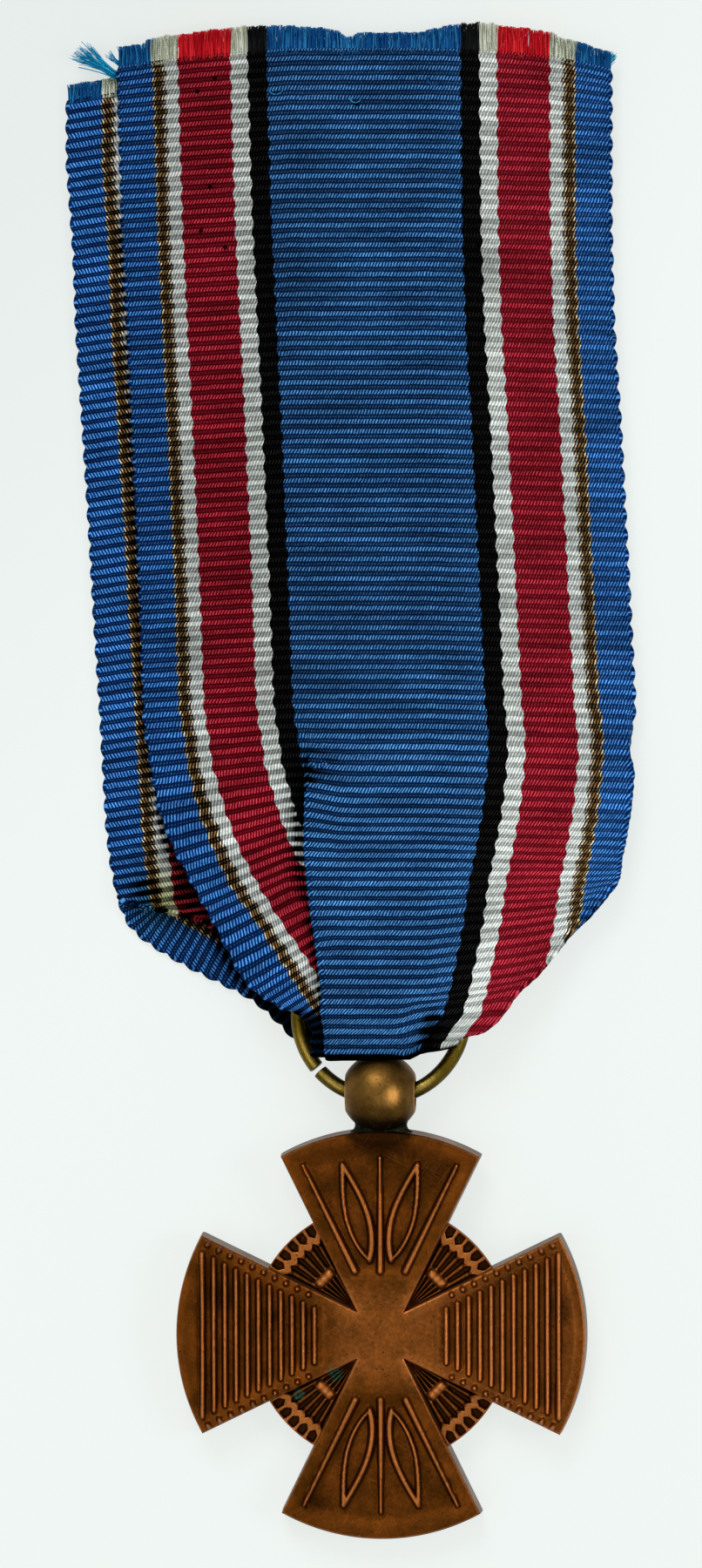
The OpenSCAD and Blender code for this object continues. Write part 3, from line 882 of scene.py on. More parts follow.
def brightness(f, flat, u, v, rib):
    """Brightness of the silk: uneven from rib to rib, painted lighter low down and across the band, with
    painted shade in the folds, and dark in pin holes.
    """
    ribs = f.noise(f.stretch(flat, (0.12, 0.9, 1)), 1.0, 2.0)
    blots = f.span(f.noise(flat, 0.2, 2.0), 0.3, 0.7, 0.85, 1.12)
    bright = f.math("MULTIPLY", f.span(ribs, 0.25, 0.75, 0.7, 1.25), blots)
    # Painted light: brighter on the loose lower part, and growing across the band
    bright = f.math("MULTIPLY", bright, f.span(v, *LOOSE_FROM, 1.0, 1.24))
    bright = f.math("MULTIPLY", bright, f.span(u, *DIM_AND_BRIGHT, 0.93, 1.06))
    # The painted shade of a fold darkens the grooves first, and the crests only where it is deep
    shade = f.kept("shade")
    on_crest = f.math("POWER", shade, 2.2)
    in_groove = f.math("MINIMUM", f.math("MULTIPLY", shade, 1.6), 1.0)
    more = f.math("SUBTRACT", in_groove, on_crest)
    folded = f.math("MULTIPLY_ADD", more, f.span(rib, 0.12, 0.5), on_crest)
    bright = f.math("MULTIPLY", bright, f.math("SUBTRACT", 1.0, folded))
    for hole in PIN_HOLES:
        far = f.node("VectorMath", flat, (*hole, 0), operation="DISTANCE", out=1)
        bright = f.math("MULTIPLY", bright, f.span(far, 0.5 * PIN_R, 1.3 * PIN_R, 0.06, 1.0))
    return bright


print(len(PIN_HOLES), "pin holes")

# %% Silk finish
# Height of the finest relief in metres
SILK_RELIEF = 0.00004


def silk_finish():
    f = Finish("ribbed_silk", Roughness=0.6, Specular_IOR_Level=0.01)
    flat = f.node("UVMap", uv_map="band")
    u = f.node("SeparateXYZ", flat)
    v = f.node("SeparateXYZ", flat, out=1)
    uneven = f.noise(f.stretch(flat, (0.9, 1.6, 1)), 1.0, 3.0)
    drift = f.math("MULTIPLY_ADD", uneven, 0.16, -0.08)
    rib = rib_depth(f, v, drift)
    place = stripe_place(f, u, v, drift)
    thread = strokes(f, u, v, uneven)
    bright = brightness(f, flat, u, v, rib)
    shallow = f.span(u, *DEEP_AND_SHALLOW, 0.0, 0.2)
    parts = []
    for colours, levels in ((stops(SILK, 1, 2), GROUND_LIGHT), (stops(SILK, 3, 4), STROKE_LIGHT)):
        lit = f.ramp(rib, [(at, grey(level)) for at, level in levels])
        least = f.ramp(place, colours, "CONSTANT", out=1)
        least = f.math("MULTIPLY_ADD", f.math("SUBTRACT", 1.0, least), shallow, least)
        light = f.math("MULTIPLY_ADD", f.math("SUBTRACT", 1.0, least), lit, least)
        parts.append(f.dim(f.ramp(place, colours, "CONSTANT"), f.math("MULTIPLY", light, bright)))
    # Some strokes show less than others
    fine = f.noise(f.stretch(flat, (4.2, 2.4, 1)), 1.0, 2.0)
    shown = f.math("MULTIPLY", thread, f.span(fine, 0.25, 0.7, 0.4, 1.0))
    colour = f.mix(f.kept("yellowed"), f.mix(shown, *parts), tone(*YELLOWED), "MULTIPLY")
    f.feed(f.surface.inputs["Base Color"], colour)
    f.feed(f.surface.inputs["Normal"], f.bump(f.math("SUBTRACT", thread, rib), SILK_RELIEF, 0.6))
    return f


silk = silk_finish()
silk.wear(ribbon)
print("silk:", len(silk.tree.nodes), "nodes")

# %% [markdown]
# ## Frayed ends
# Where the band was cut, the ribs' weft has come out and the warp threads stand free, as a fringe
# of about a millimetre in each stripe's own colour. Hair particles would do it too, but plain
# thin tubes can be counted and placed: each starts in the last row and ends at a ragged line.

# %% Threads
STRAND_STEPS, STRAND_SIDES = 7, 3
FRINGE_R, LOOSE_R = 0.058, 0.05


def strand_shell(paths, radius):
    """Points and faces of many thin threads around their middle lines."""
    count, steps, _ = paths.shape
    way = unit(np.gradient(paths, axis=1))
    side = unit(np.cross(way, [0.02, 0.01, 1.0]))
    up = np.cross(side, way)
    spin = np.linspace(0, 2 * math.pi, STRAND_SIDES, endpoint=False)
    thick = radius * np.sqrt(np.linspace(1, 0.2, steps))[None, :, None, None]
    around = side[:, :, None] * np.cos(spin)[:, None] + up[:, :, None] * np.sin(spin)[:, None]
    points = (paths[:, :, None] + thick * around).reshape(-1, 3)
    shift = (np.arange(count) * steps * STRAND_SIDES)[:, None, None]
    sides = (grid_faces(steps, STRAND_SIDES, ring=True)[None] + shift).reshape(-1, 4).tolist()
    first = np.arange(STRAND_SIDES)
    ends = np.array([first[::-1], first + (steps - 1) * STRAND_SIDES])
    return points, sides + (ends[None] + shift).reshape(-1, 3).tolist()


def add_threads(name, paths, strand_u, pale=0.0, radius=FRINGE_R):
    """Object of thin threads, each with its place across the band and its own luck in colour."""
    points, faces = strand_shell(paths, radius)
    made = add_mesh(name, points, faces)
    count, steps, _ = paths.shape
    along = np.broadcast_to(np.linspace(0, 1, steps)[None, :, None], (count, steps, STRAND_SIDES))
    across = np.broadcast_to(np.asarray(strand_u)[:, None, None], along.shape)
    add_point_uvs(made, "band", np.stack([across.ravel(), along.ravel()], 1))
    luck = np.broadcast_to(np.maximum(rng.uniform(0, 1, count), pale)[:, None, None], along.shape)
    add_point_values(made, "luck", luck.ravel())
    report(made)
    return made


print("threads of", STRAND_STEPS, "points")

# %% Fringes
THREADS_PER_MM = 84
# How far below the end of the band a thread starts
ROOTED = 0.3
# Place across the page and height of the thread ends
FRONT_TIPS = np.array([
    [-17.7, 56.0], [-15.8, 56.2], [-15.4, 56.6], [-14.0, 56.8], [-9.4, 57.4], [-7.9, 57.5], [-6.5, 57.6],
    [-3.5, 57.5], [-1.6, 57.3], [-0.9, 57.1], [-0.3, 56.7], [0.2, 56.7], [0.7, 57.0], [5.1, 57.0],
    [6.5, 57.3], [8.6, 57.7], [10.6, 57.7], [11.5, 57.5], [15.3, 57.0], [15.7, 56.6], [17.6, 56.2],
    [19.3, 55.5]])
BACK_TIPS = np.array([[-21.5, 53.2], [-18.0, 53.8], [-8.0, 55.3], [16.0, 55.3]])
# Where a few pale threads fill a dip in the front fringe
PALE_AT = -0.2


def fringe(row_u, row, tips, seed):
    """Middle lines of the threads that stand free above one end of the band."""
    dice = np.random.default_rng(seed)
    count = int(BAND_W * THREADS_PER_MM)
    at = (np.arange(count) + dice.uniform(0.1, 0.9, count)) * BAND_W / count
    base = np.stack([np.interp(at, row_u, row[:, k]) for k in range(3)], 1)
    top = np.interp(base[:, 0], tips[:, 0], tips[:, 1])
    clumps = np.sin(at * 2.1) + np.sin(at * 5.3 + 1) + np.sin(at * 11.7 + 2)
    reach = np.maximum(0.25, (top - base[:, 1]) * (1 + 0.02 * clumps - dice.gamma(1.2, 0.02, count)))
    t = np.linspace(0, 1, STRAND_STEPS)[None]
    lean = dice.normal(0, 0.07, count) + 0.07 * np.sin(at * 3.1)
    bend = dice.normal(0, 0.05, count)
    x = base[:, :1] + lean[:, None] * t ** 2 + bend[:, None] * np.sin(math.pi * t)
    y = base[:, 1:2] - ROOTED + (reach + ROOTED)[:, None] * t
    foot_z = base[:, 2] + dice.uniform(-0.2, 0.2, count)
    z = foot_z[:, None] + dice.normal(0, 0.16, count)[:, None] * t ** 2
    # Only the front ply lies more than a millimetre above the table
    pale = dice.uniform(0.6, 1, count) * np.exp(-((base[:, 0] - PALE_AT) / 0.7) ** 4) * (base[:, 2] > 1)
    return np.stack([x, y, np.maximum(z, 0.1)], 2), at, pale


fringe_front = add_threads("ribbon_fringe_front", *fringe(band_u[0], band_middle[0], FRONT_TIPS, 21))
fringe_back = add_threads("ribbon_fringe_back", *fringe(band_u[-1], band_middle[-1], BACK_TIPS, 22))

# %% Loose tufts and pulled threads
# Foot, tip, how far the tips spread, number of threads
TUFTS = [
    ((-17.75, 53.8, 1.0), (-20.9, 55.8, 1.3), 0.8, 84),
    ((-17.5, 54.6, 1.3), (-18.5, 55.5, 1.6), 0.35, 18),
    ((19.2, 54.0, 1.3), (20.1, 55.4, 1.4), 0.3, 46),
]
# Middle, radius, start and end angle of a loop that was pulled out
LOOPS = [((0.45, 52.0), 0.36, 150, 400), ((-5.6, 52.8), 0.5, 190, 370), ((-0.2, 55.6), 0.5, 200, 350),
         ((6.4, 53.4), 0.45, 160, 330)]
# Place across the band whose colour the tufts and loops have
AT_SELVEDGE = 0.8


def tuft_paths():
    """Middle lines of loose threads that fan out from a foot."""
    dice = np.random.default_rng(31)
    t = np.linspace(0, 1, STRAND_STEPS)[:, None]
    paths = []
    for foot, tip, spread, count in TUFTS:
        run = np.subtract(tip, foot)
        across = np.array([-run[1], run[0], 0]) / np.hypot(run[0], run[1])
        for _ in range(count):
            start = np.array(foot) + dice.normal(0, 0.06, 3) + across * dice.uniform(-0.25, 0.25) * spread
            fan = across * dice.uniform(-1, 1) * spread + dice.normal(0, 0.05, 3)
            path = start + run * dice.uniform(0.7, 1.0) * t + fan * t ** 1.6
            path[:, 2] = np.maximum(path[:, 2], 0.15)
            paths.append(path)
    return np.array(paths)


def loop_paths():
    """Middle lines of threads that were pulled out of the front ply as loops."""
    lift = 0.32 + 0.2 * np.sin(np.linspace(0, math.pi, STRAND_STEPS))
    paths = []
    for (x, y), radius, start, end in LOOPS:
        angle = np.radians(np.linspace(start, end, STRAND_STEPS))
        # Each loop is of two threads side by side
        for shift in (0.0, 0.07):
            loop_x = x + (radius + shift) * np.cos(angle)
            loop_y = y + radius * np.sin(angle)
            paths.append(np.stack([loop_x, loop_y, front_height(x, y) + lift], 1))
    return np.array(paths)


def add_loose(name, paths):
    return add_threads(name, paths, np.full(len(paths), AT_SELVEDGE), radius=LOOSE_R)


tufts = add_loose("ribbon_loose_threads", tuft_paths())
loops = add_loose("ribbon_pulled_threads", loop_paths())

# %% Thread colours
# Start across the band, colour of most threads, colour of the lightest ones
FRINGE = [
    (0.0, (4, 78, 140), (46, 138, 190)),
    (BROWN_U, (178, 184, 162), (228, 230, 214)),
    (RED_U, (194, 8, 28), (238, 54, 56)),
    (INNER_WHITE_U, (196, 200, 178), (234, 236, 222)),
    (FIRST_BLACK_U, (8, 9, 10), (30, 31, 32)),
    (BLUE_U, (4, 76, 142), (46, 138, 190)),
]
LOOSE_TONES = ((10, 132, 184), (70, 200, 222))


def thread_finish(name, tones=None):
    f = Finish(name, Roughness=0.6, Specular_IOR_Level=0.1)
    u = f.node("SeparateXYZ", f.node("UVMap", uv_map="band"))
    side = f.math("DIVIDE", f.math("MINIMUM", u, f.math("SUBTRACT", BAND_W, u)), BAND_W / 2)
    if tones:
        common, light = (tone(*rgb) for rgb in tones)
    else:
        common, light = (f.ramp(side, stops(FRINGE, k), "CONSTANT") for k in (1, 2))
    luck = f.kept("luck")
    colour = f.mix(f.span(luck, 0.62, 1.0), common, light)
    colour = f.dim(colour, f.span(luck, 0.0, 0.5, 0.7, 1.02))
    f.feed(f.surface.inputs["Base Color"], colour)
    return f


fringe_silk = thread_finish("fringe_silk")
fringe_silk.wear(fringe_front)
fringe_silk.wear(fringe_back)
fringe_silk.wear(loops)
loose_silk = thread_finish("loose_silk", LOOSE_TONES)
loose_silk.wear(tufts)
print("threads on:", fringe_front.name, fringe_back.name, tufts.name, loops.name)

# %% [markdown]
# ## The struck cross
# A die presses the cross out of bronze in one blow, so its face is a landscape: flat ground, a
# slightly higher border, and rounded ridges. A grid of points whose height is worked out from
# distances, to the edge and to each ridge, gives the same soft forms as the die does. Booleans
# would leave hard edges. The arms carry a plain ornament of bars, leaves and reeds.

# %% Places of the cross
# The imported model's lean and place, and its sizes: reach and thickness of an arm, half width of the
# middle, and how far each flank of an arm turns outward
LEAN = math.radians(2.8815)
CROSS_AT = np.array([2.42, -41.6115, 0.7792])
ARM_R, ARM_T, WAIST = 15.5, 2.4, 1.8
FLANK = math.radians(26)


def lay_down(points):
    """Turns the cross's own places into places on the table, where it leans on its ball."""
    x, y, z = np.moveaxis(np.asarray(points, float), -1, 0)
    cos, sin = math.cos(LEAN), math.sin(LEAN)
    return np.stack([x, y * cos - z * sin, y * sin + z * cos], -1) + CROSS_AT


def arm_half(y):
    """Half width of an arm."""
    return WAIST + (y - WAIST) * math.tan(FLANK)


def quarter_turns(points, turns):
    """Places turned about the middle of the cross by quarter turns."""
    cos, sin = math.cos(turns * math.pi / 2), math.sin(turns * math.pi / 2)
    x, y, z = np.moveaxis(points, -1, 0)
    return np.stack([x * cos - y * sin, x * sin + y * cos, z], -1)


print("cross lies at", CROSS_AT.tolist(), "and leans", round(math.degrees(LEAN), 2), "degrees")

# %% Slab under a face
# The walls spread a little towards the back, as a die leaves them
WALL_FLARE = 0.1
WALL_ROWS = 5
# Two faces that meet at more than this many degrees keep a sharp edge
SMOOTH_TO = 48


def slab(face, values, flare=WALL_FLARE, base=0.0):
    """Points, faces and values of a closed slab: a grid for its face, walls, and a flat back."""
    rows, cols = face.shape[:2]
    index = np.arange(rows * cols).reshape(rows, cols)
    loop = np.concatenate([index[0, :-1], index[:-1, -1], index[-1, :0:-1], index[:0:-1, 0]])
    points = face.reshape(-1, 3)
    rim = points[loop]
    way = unit(np.roll(rim, -1, 0)[:, :2] - np.roll(rim, 1, 0)[:, :2])
    outward = np.stack([way[:, 1], -way[:, 0], 0 * way[:, 0]], 1)
    walls = []
    for step in range(1, WALL_ROWS + 1):
        share = step / WALL_ROWS
        ring = rim + outward * flare * share
        ring[:, 2] = rim[:, 2] + (base - rim[:, 2]) * share
        walls.append(ring)
    start, around = rows * cols, len(loop)
    faces = grid_faces(rows, cols)[:, ::-1].tolist()
    rings = [loop] + [start + k * around + np.arange(around) for k in range(WALL_ROWS)]
    for upper, lower in zip(rings, rings[1:]):
        faces += np.stack([lower, np.roll(lower, -1), np.roll(upper, -1), upper], 1).tolist()
    faces.append(rings[-1].tolist())
    kept = {name: np.concatenate([grid.ravel(), np.full(WALL_ROWS * around, float(name == "side"))])
            for name, grid in values.items()}
    return np.concatenate([points] + walls), faces, kept


def join_shells(name, shells):
    """One object of several closed shells, laid on the table."""
    points, faces, shift = [], [], 0
    for shell_points, shell_faces, _ in shells:
        points.append(shell_points)
        faces += [[k + shift for k in face] for face in shell_faces]
        shift += len(shell_points)
    made = add_mesh(name, lay_down(np.concatenate(points)), faces)
    made.data.set_sharp_from_angle(angle=math.radians(SMOOTH_TO))
    for value in shells[0][2]:
        add_point_values(made, value, np.concatenate([kept[value] for _, _, kept in shells]))
    return made


print("walls of", WALL_ROWS, "rows")

# %% Ridges
def leaf_line(side, foot=(0.85, 5.75), tip=(2.85, 12.95), half=0.82, steps=14):
    """Outline of a leaf beside the middle bar of an arm, from its foot round to its foot."""
    foot, tip = np.array(foot), np.array(tip)
    run = tip - foot
    across = np.array([-run[1], run[0]]) / np.hypot(*run)
    ways = [(t, 1) for t in np.linspace(0, 1, steps)] + [(t, -1) for t in np.linspace(1, 0, steps)[1:]]
    line = [foot + run * t + across * way * half * math.sin(math.pi * t ** 0.8) for t, way in ways]
    return [(side * x, y) for x, y in line]


def leaf_ridges(low=4.9, high=12.9, inset=1.4):
    """Lines of the three bars and the two leaves on an upright arm."""
    bars = [[(side * (arm_half(y) - inset), y) for y in (low, high)] for side in (-1, 1)]
    return [[(0, low), (0, high + 0.6)]] + bars + [leaf_line(-1), leaf_line(1)]


REED_FROM, REED_PITCH, REEDS = 5.0, 0.85, 11


def reed_ridges(inset=1.3):
    """Lines across a side arm."""
    reeds = REED_FROM + REED_PITCH * np.arange(REEDS)
    return [[(-arm_half(y) + inset, y), (arm_half(y) - inset, y)] for y in reeds]


def reed_pellets(inset=0.65, length=0.01):
    """Very short lines, which make round pellets, between the ends of the reeds."""
    pellets = []
    for y in REED_FROM + REED_PITCH * np.arange(1, REEDS):
        for side in (-1, 1):
            x = side * (arm_half(y) - inset)
            pellets.append([(x, y - REED_PITCH / 2), (x - side * length, y - REED_PITCH / 2)])
    return pellets


print(len(leaf_ridges()), "ridges on an upright arm,", len(reed_ridges()), "on a side arm")

# %% Knocks and stains
# Place, size and depth of each small knock in the metal
DINTS = [(rng.uniform(-15, 15), rng.uniform(-15, 15), rng.uniform(0.08, 0.3), rng.uniform(0.01, 0.035))
         for _ in range(90)]
# Place on the cross, size and strength of each green stain, then of each dark smudge
STAINS = [(-3.4, -3.0, 0.7, 1.0), (-6.3, -4.6, 0.6, 0.9), (-4.6, -3.4, 0.7, 0.35), (2.7, -3.1, 0.25, 0.7),
          (4.9, 7.2, 0.9, 0.25), (-5.4, 8.0, 0.5, 0.3), (-12.8, 4.1, 0.8, 0.22)]
SMUDGES = [(-12.4, 3.0, 1.3, 0.4), (-8.3, 1.4, 0.8, 0.4), (-13.6, -4.6, 1.0, 0.3),
           (13.8, 2.2, 1.2, 0.45), (12.9, -4.6, 1.3, 0.35), (-5.0, -13.0, 1.0, 0.45),
           (5.2, -12.2, 1.2, 0.3), (4.4, 12.4, 1.8, 0.3), (0.0, 14.4, 2.2, 0.25)]


def round_spots(places, rows):
    """Sum of soft round spots."""
    x, y = places[..., 0], places[..., 1]
    return sum(strength * spot(x, y, a, b, size, size) for a, b, size, strength in rows)


def spots(places, rows):
    return np.clip(round_spots(places, rows), 0, 1)


def rounded(depth, radius):
    """How far a rounded edge drops at a distance inside the outline."""
    inside = np.clip(radius - depth, 0, radius)
    return radius - np.sqrt(radius ** 2 - inside ** 2)


print(len(DINTS), "knocks,", len(STAINS), "green stains and", len(SMUDGES), "smudges")

# %% Ornament of an arm
# Height and half width of a ridge
RIDGE_RISE, RIDGE_HALF = 0.46, 0.235


def arm_grid(across, up):
    """Places over an arm, in columns that fan out from its waist and end on its arc."""
    c = np.linspace(-1, 1, across)
    slope = math.tan(FLANK)
    foot = WAIST * (1 - slope)
    a, b = 1 + (c * slope) ** 2, c ** 2 * foot * slope
    top = (np.sqrt(b ** 2 - a * (c ** 2 * foot ** 2 - ARM_R ** 2)) - b) / a
    y = WAIST + (top - WAIST) * np.linspace(0, 1, up)[:, None]
    return c * (foot + y * slope), y


def ornament(x, y, upright):
    """How high the ridges stand at each point, from 0 to 1, and how close beside one it lies."""
    ridge, beside = np.zeros(x.shape), np.zeros(x.shape)
    for line in leaf_ridges() if upright else reed_ridges() + reed_pellets():
        far, along = near_line(x, y, line)
        # Bars and leaves get narrower towards the rim
        half = RIDGE_HALF * (1.3 - 0.55 * along) if upright else RIDGE_HALF * 0.92
        ridge = np.maximum(ridge, ease(1.35 * half, 0.25 * half, far))
        beside = np.maximum(beside, np.exp(-np.clip(far - half, 0, 9) / 0.24))
    return ridge, beside


print("an arm is", round(float(2 * arm_grid(3, 2)[0][1, 2]), 1), "mm wide at its end")

# %% Face of an arm
# Columns and rows of points on an upright arm, and on a side arm, whose reeds run along its columns
UPRIGHT_GRID, SIDE_GRID = (150, 116), (100, 240)
# Width of the border, depth of the field in it, and where the field starts
BORDER, SINK, FIELD_FROM = 0.75, 0.35, 4.3
EDGE_ROUND = 0.2


def arm_face(turns):
    """Slab of an arm, with the wear and painted highlight, the darkness and the stains of each point of
    its face.
    """
    upright = turns % 2 == 0
    x, y = arm_grid(*(UPRIGHT_GRID if upright else SIDE_GRID))
    to_flank, to_arc = (arm_half(y) - np.abs(x)) * math.cos(FLANK), ARM_R - np.hypot(x, y)
    edge = np.minimum(to_flank, to_arc)
    inside = np.minimum(edge - BORDER, y - FIELD_FROM)
    field = ease(-0.3, 1.3, inside)
    ridge, beside = ornament(x, y, upright)
    world = quarter_turns(np.stack([x, y, 0 * x], -1), turns)
    height = ARM_T - SINK * field + RIDGE_RISE * ridge - rounded(edge, EDGE_ROUND)
    height = height - round_spots(world, DINTS)
    # Rubbed bright, and on the crests and the outline partly a painted highlight: the crests of the
    # ridges, the border's inner step, the outline, and what fingers touch, which is the right arm, the
    # middle of the cross and the flanks beside it
    step = 0.1 * np.exp(-((inside - 0.02) / 0.12) ** 2) * (edge > 0.3)
    outline = 0.45 * np.exp(-((edge - 0.06) / 0.08) ** 2)
    touched = 0.17 * (turns == 3) * ease(2.5, 5, y) + 0.24 * ease(5.5, 2.5, y)
    touched = touched + 0.1 * ease(1.0, 0.2, to_flank) * ease(12, 3, y)
    # The end of the upper arm is darker around the neck
    neck_dark = np.clip(1.5 * np.exp(-(x / 2.5) ** 4 - ((y - 15.5) / 1.05) ** 2), 0, 1) * (turns == 0)
    hollow = field * (0.36 + 0.22 * beside) * (1 - ridge)
    values = {
        "worn": np.clip(ridge ** 2 * 0.57 + outline + step + touched, 0, 1) * (1 - neck_dark),
        "deep": np.clip(hollow + spots(world, SMUDGES) + neck_dark, 0, 1),
        "side": 0 * x,
        "green": spots(world, STAINS),
    }
    return slab(quarter_turns(np.stack([x, y, height], -1), turns), values)


def centre_face(cells=30):
    """Slab of the flat middle between the four arms."""
    x, y = np.meshgrid(np.linspace(-WAIST, WAIST, cells), np.linspace(-WAIST, WAIST, cells))
    places = np.stack([x, y, ARM_T + 0 * x], -1)
    places[..., 2] -= round_spots(places, DINTS)
    corner = np.exp(-(np.hypot(np.abs(x) - WAIST, np.abs(y) - WAIST) / 0.2) ** 2)
    values = {"worn": 0.24 + 0.3 * corner, "deep": 0 * x, "side": 0 * x, "green": 0 * x}
    return slab(places, values, flare=0)


arms = join_shells("cross_arms", [arm_face(k) for k in range(4)] + [centre_face()])
report(arms)

# %% [markdown]
# ## Bundles of arrows
# In each corner between two arms the disc behind them carries five arrows, bound by a band, with
# their feathers at the rim, which stand as small frames with a hollow in each. They fan out from
# the corner, so their grid is a fan too: one direction is the angle, the other the distance from
# the corner, and a shaft is a ridge at one angle. That keeps the thin shafts crisp with few points.

# %% Arrows
# Radius and thickness of the disc, and how far each bundle's corner lies from its middle
DISC_R, DISC_T = 9.9, 1.25
ROOT = math.hypot(WAIST, WAIST)
ARROWS, SPREAD = 5, math.radians(30)
# Length, half width and rounding of a feather, then length and half width of its hollow, and the
# width of the rim outside it
FEATHER_LONG, FEATHER_HALF, FEATHER_ROUND = 1.8, 0.6, 0.13
HOLLOW_LONG, HOLLOW_HALF, RIM_W = 0.98, 0.25, 0.2


def arrow_forms(far, angle, rim):
    """How high the shafts and the feathers stand, from 0 to 1, over a fan of points."""
    shaft, feather = np.zeros(far.shape), np.zeros(far.shape)
    for at in np.linspace(-SPREAD / 2, SPREAD / 2, ARROWS):
        across = far * np.sin(np.abs(angle - at))
        half = 0.06 + 0.032 * far
        thin = np.sqrt(np.clip(1 - (across / half) ** 2, 0, 1)) * ease(1.5, 1.7, rim)
        shaft = np.maximum(shaft, thin)
        inside = np.minimum(FEATHER_HALF - across, FEATHER_LONG - across - rim)
        hollow = np.minimum(np.minimum(HOLLOW_HALF - across, rim - RIM_W), HOLLOW_LONG - across - rim)
        rounding = 1 - np.clip(np.minimum(inside, -hollow) / FEATHER_ROUND, 0, 1)
        feather = np.maximum(feather, np.sqrt(1 - rounding ** 2))
    return shaft, feather


print(ARROWS, "arrows in each bundle, over", round(math.degrees(SPREAD)), "degrees")

# %% Face of a bundle
# Distance of the band from the corner, half of its length and half of its width
BAND_AT, BAND_LONG, BAND_HALF = 3.45, 0.52, 0.95
SHAFT_RISE, FEATHER_RISE, BAND_RISE = 0.33, 0.46, 0.85
# Half of the angle that the fan takes up, and how far from the corner it starts
FAN_HALF, FAN_FROM = math.radians(20.5), 0.25
# Dirt between the arrows of each bundle, from the one at the upper right round by the left
DIRT = (0.88, 1.2, 1.0, 0.96)


def bundle_face(turns, rows=104, cols=84):
    """Slab of a quarter of the disc with its bundle."""
    angle = np.linspace(-1, 1, cols) * FAN_HALF
    reach = np.sqrt(DISC_R ** 2 - (ROOT * np.sin(angle)) ** 2) - ROOT * np.cos(angle)
    far = FAN_FROM + (reach - FAN_FROM) * np.linspace(0, 1, rows)[:, None]
    angle = angle + 0 * far
    rim = reach - far
    shaft, feather = arrow_forms(far, angle, rim)
    along, across = far * np.cos(angle) - BAND_AT, far * np.sin(angle)
    bound = np.sqrt(np.clip(1 - (along / BAND_LONG) ** 2, 0, 1))
    bound = bound * np.sqrt(np.clip(1 - (across / BAND_HALF) ** 6, 0, 1))
    height = DISC_T + SHAFT_RISE * shaft * ease(0.3, 1.5, far) + FEATHER_RISE * feather
    height = np.maximum(height - rounded(rim, 0.12), DISC_T - 0.1 + BAND_RISE * bound)
    turned = angle + math.pi / 4
    x, y = WAIST + far * np.cos(turned), WAIST + far * np.sin(turned)
    world = quarter_turns(np.stack([x, y, height], -1), turns)
    clean = np.maximum(np.maximum(shaft * 0.6, feather * 1.1), bound * 1.1)
    values = {
        "worn": np.clip(0.5 * bound + 0.46 * feather ** 3 + 0.26 * shaft ** 2, 0, 1),
        "deep": np.clip(DIRT[turns] - clean, 0, 1),
        "side": 0 * x,
        "green": spots(world, STAINS),
    }
    return slab(world, values, flare=0.12, base=0.03)


bundles = join_shells("cross_arrow_disc", [bundle_face(k) for k in range(4)])
report(bundles)

# %% [markdown]
# ## Ball, neck and ring
# The ball is turned on a lathe, with two flat faces and a bore, so its outline spun about the bore
# makes it in one go, bore and all. A few highlights are painted on it. The neck under it is
# the solder that holds it to the arm, flat at the arm and round at the ball. The ring is a wire
# swept along a circle, with a slit.

# %% Ball
BALL_Y, BALL_Z = 18.35, 1.3
BALL_R, BALL_HALF, BORE_R = 3.0, 2.65, 1.15
# Radius at which the round part ends and the flat face begins
FLAT_R = 1.47
# Depth below the flat face, and radius, along the bore's rounded mouth
MOUTH = [(0.005, 1.42), (0.0, 1.36), (0.02, 1.27), (0.1, 1.18), (0.25, BORE_R)]
# Place on the ball, half width, half height and strength of each painted highlight
PAINTED_HIGHLIGHTS = [(1.08, -0.02, 0.55, 0.75, 0.66), (0.3, -0.35, 1.1, 0.8, 0.24), (-0.1, 1.3, 1.1, 0.6, 0.2)]
POINT_VALUES = ("worn", "deep", "side", "green")


def plain_values(count, **given):
    """Values of each point, 0 where none is given."""
    values = {name: np.zeros(count) for name in POINT_VALUES}
    values.update({name: np.broadcast_to(value, count).astype(float) for name, value in given.items()})
    return values


def ball_outline():
    """Places along the bore's axis and distances from it, once round the ball and back down the bore."""
    start = math.asin(FLAT_R / BALL_R)
    sweep = np.linspace(start, math.pi - start, 60)
    mouth = [(BALL_HALF - depth, radius) for depth, radius in MOUTH]
    bore = [(x, BORE_R) for x in np.linspace(2.1, -2.1, 12)]
    outline = [(-BALL_R * math.cos(a), BALL_R * math.sin(a)) for a in sweep] + mouth + bore
    return np.array(outline + [(-x, r) for x, r in mouth[::-1]])


def ball_shell(around=96):
    outline = ball_outline()
    spin = np.tile(np.linspace(0, 2 * math.pi, around, endpoint=False), len(outline))
    x, radius = np.repeat(outline, around, axis=0).T
    points = np.stack([x, BALL_Y + radius * np.cos(spin), BALL_Z + radius * np.sin(spin)], 1)
    i, j = np.meshgrid(np.arange(len(outline)), np.arange(around), indexing="ij")
    nxt, beside = (i + 1) % len(outline), (j + 1) % around
    faces = np.stack([i * around + beside, nxt * around + beside, nxt * around + j, i * around + j], -1)
    y = points[:, 1] - BALL_Y
    # The mouth of the bore is bright, and painted highlights lie on top
    worn = 0.5 * np.exp(-((radius - 1.45) / 0.1) ** 2)
    for *patch, strength in PAINTED_HIGHLIGHTS:
        worn = worn + strength * spot(x, y, *patch) * (points[:, 2] > BALL_Z)
    # It is darker low down by the neck and in the bore
    deep = np.clip(ease(-1.2, -2.6, y) + (radius < 1.2) + 0.15, 0, 1)
    return points, faces.reshape(-1, 4).tolist(), plain_values(len(points), worn=worn, deep=deep)


print(len(ball_outline()), "points along the ball's outline")

